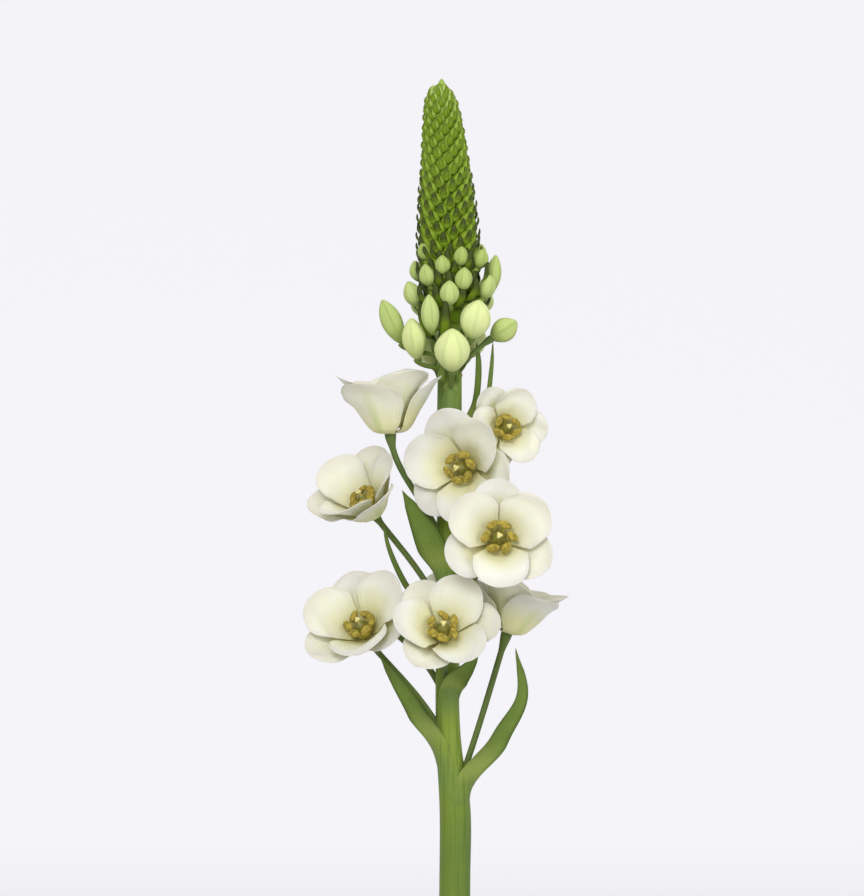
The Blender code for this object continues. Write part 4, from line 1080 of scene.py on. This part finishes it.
def make_blooms(looks, heart_looks):
    """Every open bloom, as its tepals and its heart, turned to its facing on its seat."""
    tissue = [tepal_material(looks)]
    heart_finish = [made(heart_looks) for made in (ovary_material, filament_material, pollen_material)]
    lift = np.array(Matrix.Translation((0.0, 0.0, HEART_FOOT)))
    for number, (seat, azimuth, rise, width, openness, roll, _) in enumerate(BLOOMS, 1):
        name = f"bloom_{number:02d}"
        way = Vector(facing(azimuth, rise)).to_track_quat("Z", "Y").to_matrix().to_4x4()
        rolled = way @ Matrix.Rotation(math.radians(roll), 4, "Z")
        place = np.array(Matrix.Translation(Vector(seat) * MM) @ rolled)
        tepals = tepal_skins(width, openness, looks, np.random.default_rng(SEED + number))
        new_piece(f"{name}_petals", tepals, tissue, "tepal_white", f"{name}_tepals", place=place)
        heart = heart_skins(width, openness, np.random.default_rng(HEART_SEED + number))
        new_piece(f"{name}_center", heart, heart_finish, "heart_olive", f"{name}_heart",
                  place=place @ lift)


def bud_skins(feet, ways, lengths, widths, paleness, rows, sides, blunt=0.5):
    """Buds: eggs of six closed tepals that run to a small point. The radius is half the width
    times the 0.7th power of a sine of the length, with six low ribs."""
    share = np.sin(np.linspace(0.03, 0.985, rows) * math.pi / 2)[:, None] ** 1.15
    bulge = np.where(share < blunt, share / blunt, (1 - share) / (1 - blunt))
    turn, cosine, sine = circle(sides)
    form = np.sin(np.clip(bulge, 0.0, 1) * math.pi / 2) ** EGG_POWER
    form = form * (1 + 0.03 * np.cos(6 * turn) * np.sin(math.pi * share))
    radii = widths[:, None, None] / 2 * form
    local = triples(radii * cosine, radii * sine, share * lengths[:, None, None])
    across = unit(np.cross(UPRIGHT, ways) + (1e-6, 0.0, 0.0))
    rings = carried(local, feet, across, np.cross(ways, across), ways)
    skin = triples(np.cos(6 * turn), paleness[:, None, None], share)
    return round_skins(rings, feet, feet + ways * lengths[:, None], skin)


def scale_skins(feet, ways, lengths, widths, share, outward):
    """A small pointed bract outside each bud: it climbs the bud's outer side, bulging by a sine,
    its width is the root of one less the square of the share along, and its tip stands off by
    up to a third of the bud's width at the spike's foot."""
    along = np.linspace(0.0, 1.0, 9)[:, None]
    across = np.linspace(-1.0, 1.0, 5)
    widths, share = widths[:, None, None], share[:, None, None]
    loose = np.sqrt(np.clip(1 - share / 0.6, 0.0, 1.0))
    out = widths * (0.54 * np.sin(math.pi * along) + (0.1 + 0.3 * loose) * along**2)
    lift = lengths[:, None, None] * (0.96 + 0.16 * loose) * along
    half = widths * 0.36 * np.sqrt(1 - along**2) + 0.05 * MM
    local = triples(half * across, out - half * 0.5 * across**2, lift)
    middle = carried(local, feet, unit(np.cross(UPRIGHT, outward)), outward, ways)
    return leaf_skins(middle, SCALE_THICKNESS, triples(across, 0.35 + 0.65 * loose, along), finish=1)


def collar_skins():
    """The small buds round the spike's foot with their short stalks, the lower the paler, and a
    pointed green bract to the left and to the right of each, turned round the spike, which fill
    the gaps between them."""
    centres, azimuth, rise, lengths, widths = columns_of(COLLAR_BUDS)
    centres, lengths, widths = centres * MM, lengths * MM, widths * MM
    ways = facing(azimuth, rise)
    feet = centres - ways * lengths[:, None] / 2
    starts = spike_centre(feet[:, 2])
    starts[:, 2] = np.maximum(feet[:, 2] - 4 * MM, COLLAR_STALK_FOOT)
    share = np.linspace(0.0, 1.0, 8)[:, None]
    paths = starts[:, None] * (1 - share) + (feet + ways * 0.5 * MM)[:, None] * share
    pale = np.interp(centres[:, 2], COLLAR_HEIGHTS, COLLAR_PALENESS)
    skins = [bud_skins(feet, ways, lengths, widths, pale, 18, 36),
             tubes(paths, COLLAR_STALK_RADIUS, 8, 0.2)]
    axis = spike_centre(centres[:, 2])[:, :2]
    for turn in (-COLLAR_BRACT_TURN, COLLAR_BRACT_TURN):
        cosine, sine = math.cos(math.radians(turn)), math.sin(math.radians(turn))
        swung = axis + (centres[:, :2] - axis) * 0.8 @ np.array([[cosine, sine], [-sine, cosine]])
        ways = facing(azimuth + turn, rise)
        feet = np.concatenate([swung, centres[:, 2:]], axis=1) - ways * lengths[:, None] * 0.6
        skins.append(scale_skins(feet, ways, lengths * 0.9, widths * 0.8, np.full(len(widths), 0.2),
                                 facing(azimuth + turn, 0.0)))
    return skins


def spike_skins(looks):
    """The spike: its buds with their bracts, the bud at its tip, its core of level rings, and
    the collar. The buds stand at turns of the golden angle, shrink and stand up towards the tip,
    lean together over it, and their outer sides meet the envelope."""
    number = np.arange(looks.spike_buds)
    share = number / (looks.spike_buds - 1)
    height = (SPIKE_LOWEST_BUD + SPIKE_BUDS_SPAN * share**SPIKE_CROWDING) * MM
    envelope = through(SPIKE_HEIGHTS, SPIKE_ENVELOPE, height + SPIKE_BUD_MIDDLE)
    core = through(SPIKE_HEIGHTS, SPIKE_CORE, height)
    widths = (SPIKE_BUD_WIDTH - SPIKE_BUD_SHRINKS * share) * MM
    lengths = widths * SPIKE_BUD_LENGTH
    rise = 58 + 26 * share**2 + 18 * ease((share - 0.88) / 0.12)
    ways = facing(GOLDEN_ANGLE * number, rise)
    outward = facing(GOLDEN_ANGLE * number, 0.0)
    reach = envelope - lengths * 0.6 * np.cos(np.radians(rise)) - widths * 0.35
    feet = spike_centre(height - lengths * 0.35)
    feet = feet + outward * np.clip(reach, core * 0.3, core * 0.95)[:, None]
    pale = np.interp(share, [0.0, 0.25, 0.8, 1.0], [0.12, 0.02, 0.1, 0.3])
    rows = np.linspace(SPIKE_HEIGHTS[0], SPIKE_HEIGHTS[-1] - 2 * MM, 40)
    return [bud_skins(feet, ways, lengths, widths, pale, 12, 18),
            bud_skins(SPIKE_TIP_FOOT, UPRIGHT[None], *SPIKE_TIP_SIZE, np.array([0.2]), 16, 24),
            # The core takes the buds' deep rib green all round, as painted shade where it shows in the
            # gaps between the buds
            turned(through(SPIKE_HEIGHTS, SPIKE_CORE, rows), rows, 24, spike_centre(rows)[:, :2],
                   (1.0, 0.0, 0.2)),
            *collar_skins(), scale_skins(feet, ways, lengths, widths, share, outward)]


def make_paper(looks):
    """The floor and backdrop as one bowl of paper: a flat floor, a quarter-circle cove and a
    wall all round, which lets light through so that the room lights the flower evenly."""
    turn = np.linspace(0.0, math.pi / 2, 16)[1:]
    cove = PAPER_FLAT + PAPER_COVE * np.sin(turn), PAPER_COVE - PAPER_COVE * np.cos(turn)
    outline = [(np.linspace(0.02, PAPER_FLAT, 30), np.zeros(30)), cove,
               (np.full(8, PAPER_FLAT + PAPER_COVE), np.linspace(1.1, PAPER_TOP, 8))]
    skin = turned(*np.concatenate(outline, axis=1)[:, ::-1], TURNED_SIDES)
    # The bowl stays open at its top, whose closing triangles come first
    skin["triangles"] = skin["triangles"][TURNED_SIDES:]
    paper = new_piece("paper_bowl", [skin], [paper_material(looks)], None)
    paper.visible_shadow = False
    paper.visible_diffuse = False
    paper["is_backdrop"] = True


def make_lights(looks):
    """An even room light, and square softboxes turned to the flower: a key from the upper left,
    a fill, a top and a back light, each with a grid that keeps its light off the paper beside it."""
    scene = bpy.context.scene
    scene.world = bpy.data.worlds.new("room")
    scene.world.use_nodes = True
    background = scene.world.node_tree.nodes["Background"]
    plug(background.inputs["Color"], (1.0, 1.0, 1.0, 1.0))
    plug(background.inputs["Strength"], looks.sky)
    for name, place, size, share in LAMPS:
        data = bpy.data.lights.new(name, "AREA")
        data.shape = "SQUARE"
        data.size = size
        data.energy = looks.key * share
        data.spread = LAMP_SPREAD
        light = bpy.data.objects.new(name, data)
        light.location = place
        light.rotation_euler = (Vector(LAMP_TARGET) - Vector(place)).to_track_quat("-Z", "Y").to_euler()
        scene.collection.objects.link(light)


def make_camera():
    """A level camera in front of the flower that frames what the photograph shows."""
    data = bpy.data.cameras.new("front_camera")
    data.sensor_width = SENSOR
    data.lens = SENSOR * abs(CAMERA_PLACE[1]) / SEEN_HEIGHT
    camera = bpy.data.objects.new("front_camera", data)
    camera.location = CAMERA_PLACE
    camera.rotation_euler = (math.pi / 2, 0.0, 0.0)
    bpy.context.scene.collection.objects.link(camera)
    bpy.context.scene.camera = camera


class FLOWER_OT_make_stage(bpy.types.Operator):
    """Make the paper, the lights and the camera"""

    bl_idname = "flower.make_stage"
    bl_label = "Make the stage"

    def execute(self, context):
        context.scene.view_settings.view_transform = "Standard"
        make_paper(context.scene.flower_stage)
        make_lights(context.scene.flower_stage)
        make_camera()
        return {"FINISHED"}


class FLOWER_OT_make_vase(bpy.types.Operator):
    """Make the glass vase"""

    bl_idname = "flower.make_vase"
    bl_label = "Make the vase"

    def execute(self, context):
        looks = context.scene.flower_vase
        new_piece("glass_vase", [vase_skin(looks)], [glass_material(looks)], "glass", "vase")
        return {"FINISHED"}


class FLOWER_OT_make_water(bpy.types.Operator):
    """Make the water in the vase"""

    bl_idname = "flower.make_water"
    bl_label = "Make the water"

    def execute(self, context):
        looks = context.scene.flower_vase
        new_piece("vase_water", [water_skin(looks)], [water_material(looks)], "water", "water")
        return {"FINISHED"}


class FLOWER_OT_make_stem(bpy.types.Operator):
    """Make the stem with its stalks and bracts"""

    bl_idname = "flower.make_stem"
    bl_label = "Make the stem"

    def execute(self, context):
        looks = context.scene.flower_stem
        skins = [stem_skin(), *stalk_skins(looks), bract_skin(looks)]
        materials = [rind_material(looks), leaf_material(looks)]
        new_piece("green_stem", skins, materials, "stem_green", "flower_stem")
        return {"FINISHED"}


class FLOWER_OT_make_blooms(bpy.types.Operator):
    """Make the open blooms"""

    bl_idname = "flower.make_blooms"
    bl_label = "Make the blooms"

    def execute(self, context):
        make_blooms(context.scene.flower_blooms, context.scene.flower_hearts)
        return {"FINISHED"}


class FLOWER_OT_make_large_buds(bpy.types.Operator):
    """Make the large buds under the spike, each its own piece"""

    bl_idname = "flower.make_large_buds"
    bl_label = "Make the large buds"

    def execute(self, context):
        materials = [bud_material(context.scene.flower_buds)]
        for number, row in enumerate(BUDS, 1):
            centre, azimuth, rise, length, width, _, pale = columns_of([row])
            way = facing(azimuth, rise)
            foot = (centre - way * length / 2) * MM
            skin = bud_skins(foot, way, length * MM, width * MM, pale, 26, 48, 0.52)
            new_piece(f"bud_{number:02d}_skin", [skin], materials, "bud_cream", f"bud_{number:02d}")
        return {"FINISHED"}


class FLOWER_OT_make_spike(bpy.types.Operator):
    """Make the spike of packed buds"""

    bl_idname = "flower.make_spike"
    bl_label = "Make the spike"

    def execute(self, context):
        looks = context.scene.flower_buds
        materials = [bud_material(looks), scale_material(looks)]
        new_piece("spike_of_buds", spike_skins(looks), materials, "spike_green", "bud_spike")
        return {"FINISHED"}


OPERATORS = (FLOWER_OT_make_stage, FLOWER_OT_make_vase, FLOWER_OT_make_water, FLOWER_OT_make_stem,
             FLOWER_OT_make_blooms, FLOWER_OT_make_large_buds, FLOWER_OT_make_spike)
SETTINGS = {"flower_stage": StageSettings, "flower_vase": VaseSettings, "flower_stem": StemSettings,
            "flower_blooms": BloomSettings, "flower_hearts": HeartSettings, "flower_buds": BudSettings}


class FLOWER_PT_flower(bpy.types.Panel):
    """The settings of each piece and the buttons that make them"""

    bl_idname = "FLOWER_PT_flower"
    bl_label = "Ornithogalum in a vase"
    bl_space_type = "VIEW_3D"
    bl_region_type = "UI"
    bl_category = "Flower"

    def draw(self, context):
        for name, group in SETTINGS.items():
            box = self.layout.box()
            box.label(text=group.__doc__)
            for setting in group.__annotations__:
                box.prop(getattr(context.scene, name), setting)
        for operator in OPERATORS:
            self.layout.operator(operator.bl_idname)


CLASSES = (*SETTINGS.values(), *OPERATORS, FLOWER_PT_flower)


def register():
    """Registers the settings, the operators and the panel."""
    for made in CLASSES:
        bpy.utils.register_class(made)
    for name, group in SETTINGS.items():
        setattr(bpy.types.Scene, name, PointerProperty(type=group))


def unregister():
    """Takes the settings, the panel and the operators away again."""
    for name in SETTINGS:
        delattr(bpy.types.Scene, name)
    for made in reversed(CLASSES):
        bpy.utils.unregister_class(made)


def main():
    """Makes the stage and every piece, and works out the boxes of the packed and the dressed model."""
    register()
    for operator in OPERATORS:
        group, name = operator.bl_idname.split(".")
        getattr(getattr(bpy.ops, group), name)()
    boxes = {"cad": CAD_BOX, "dressed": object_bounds()}
    {name: [list(corner) for corner in box] for name, box in boxes.items()}


if __name__ == "__main__":
    main()
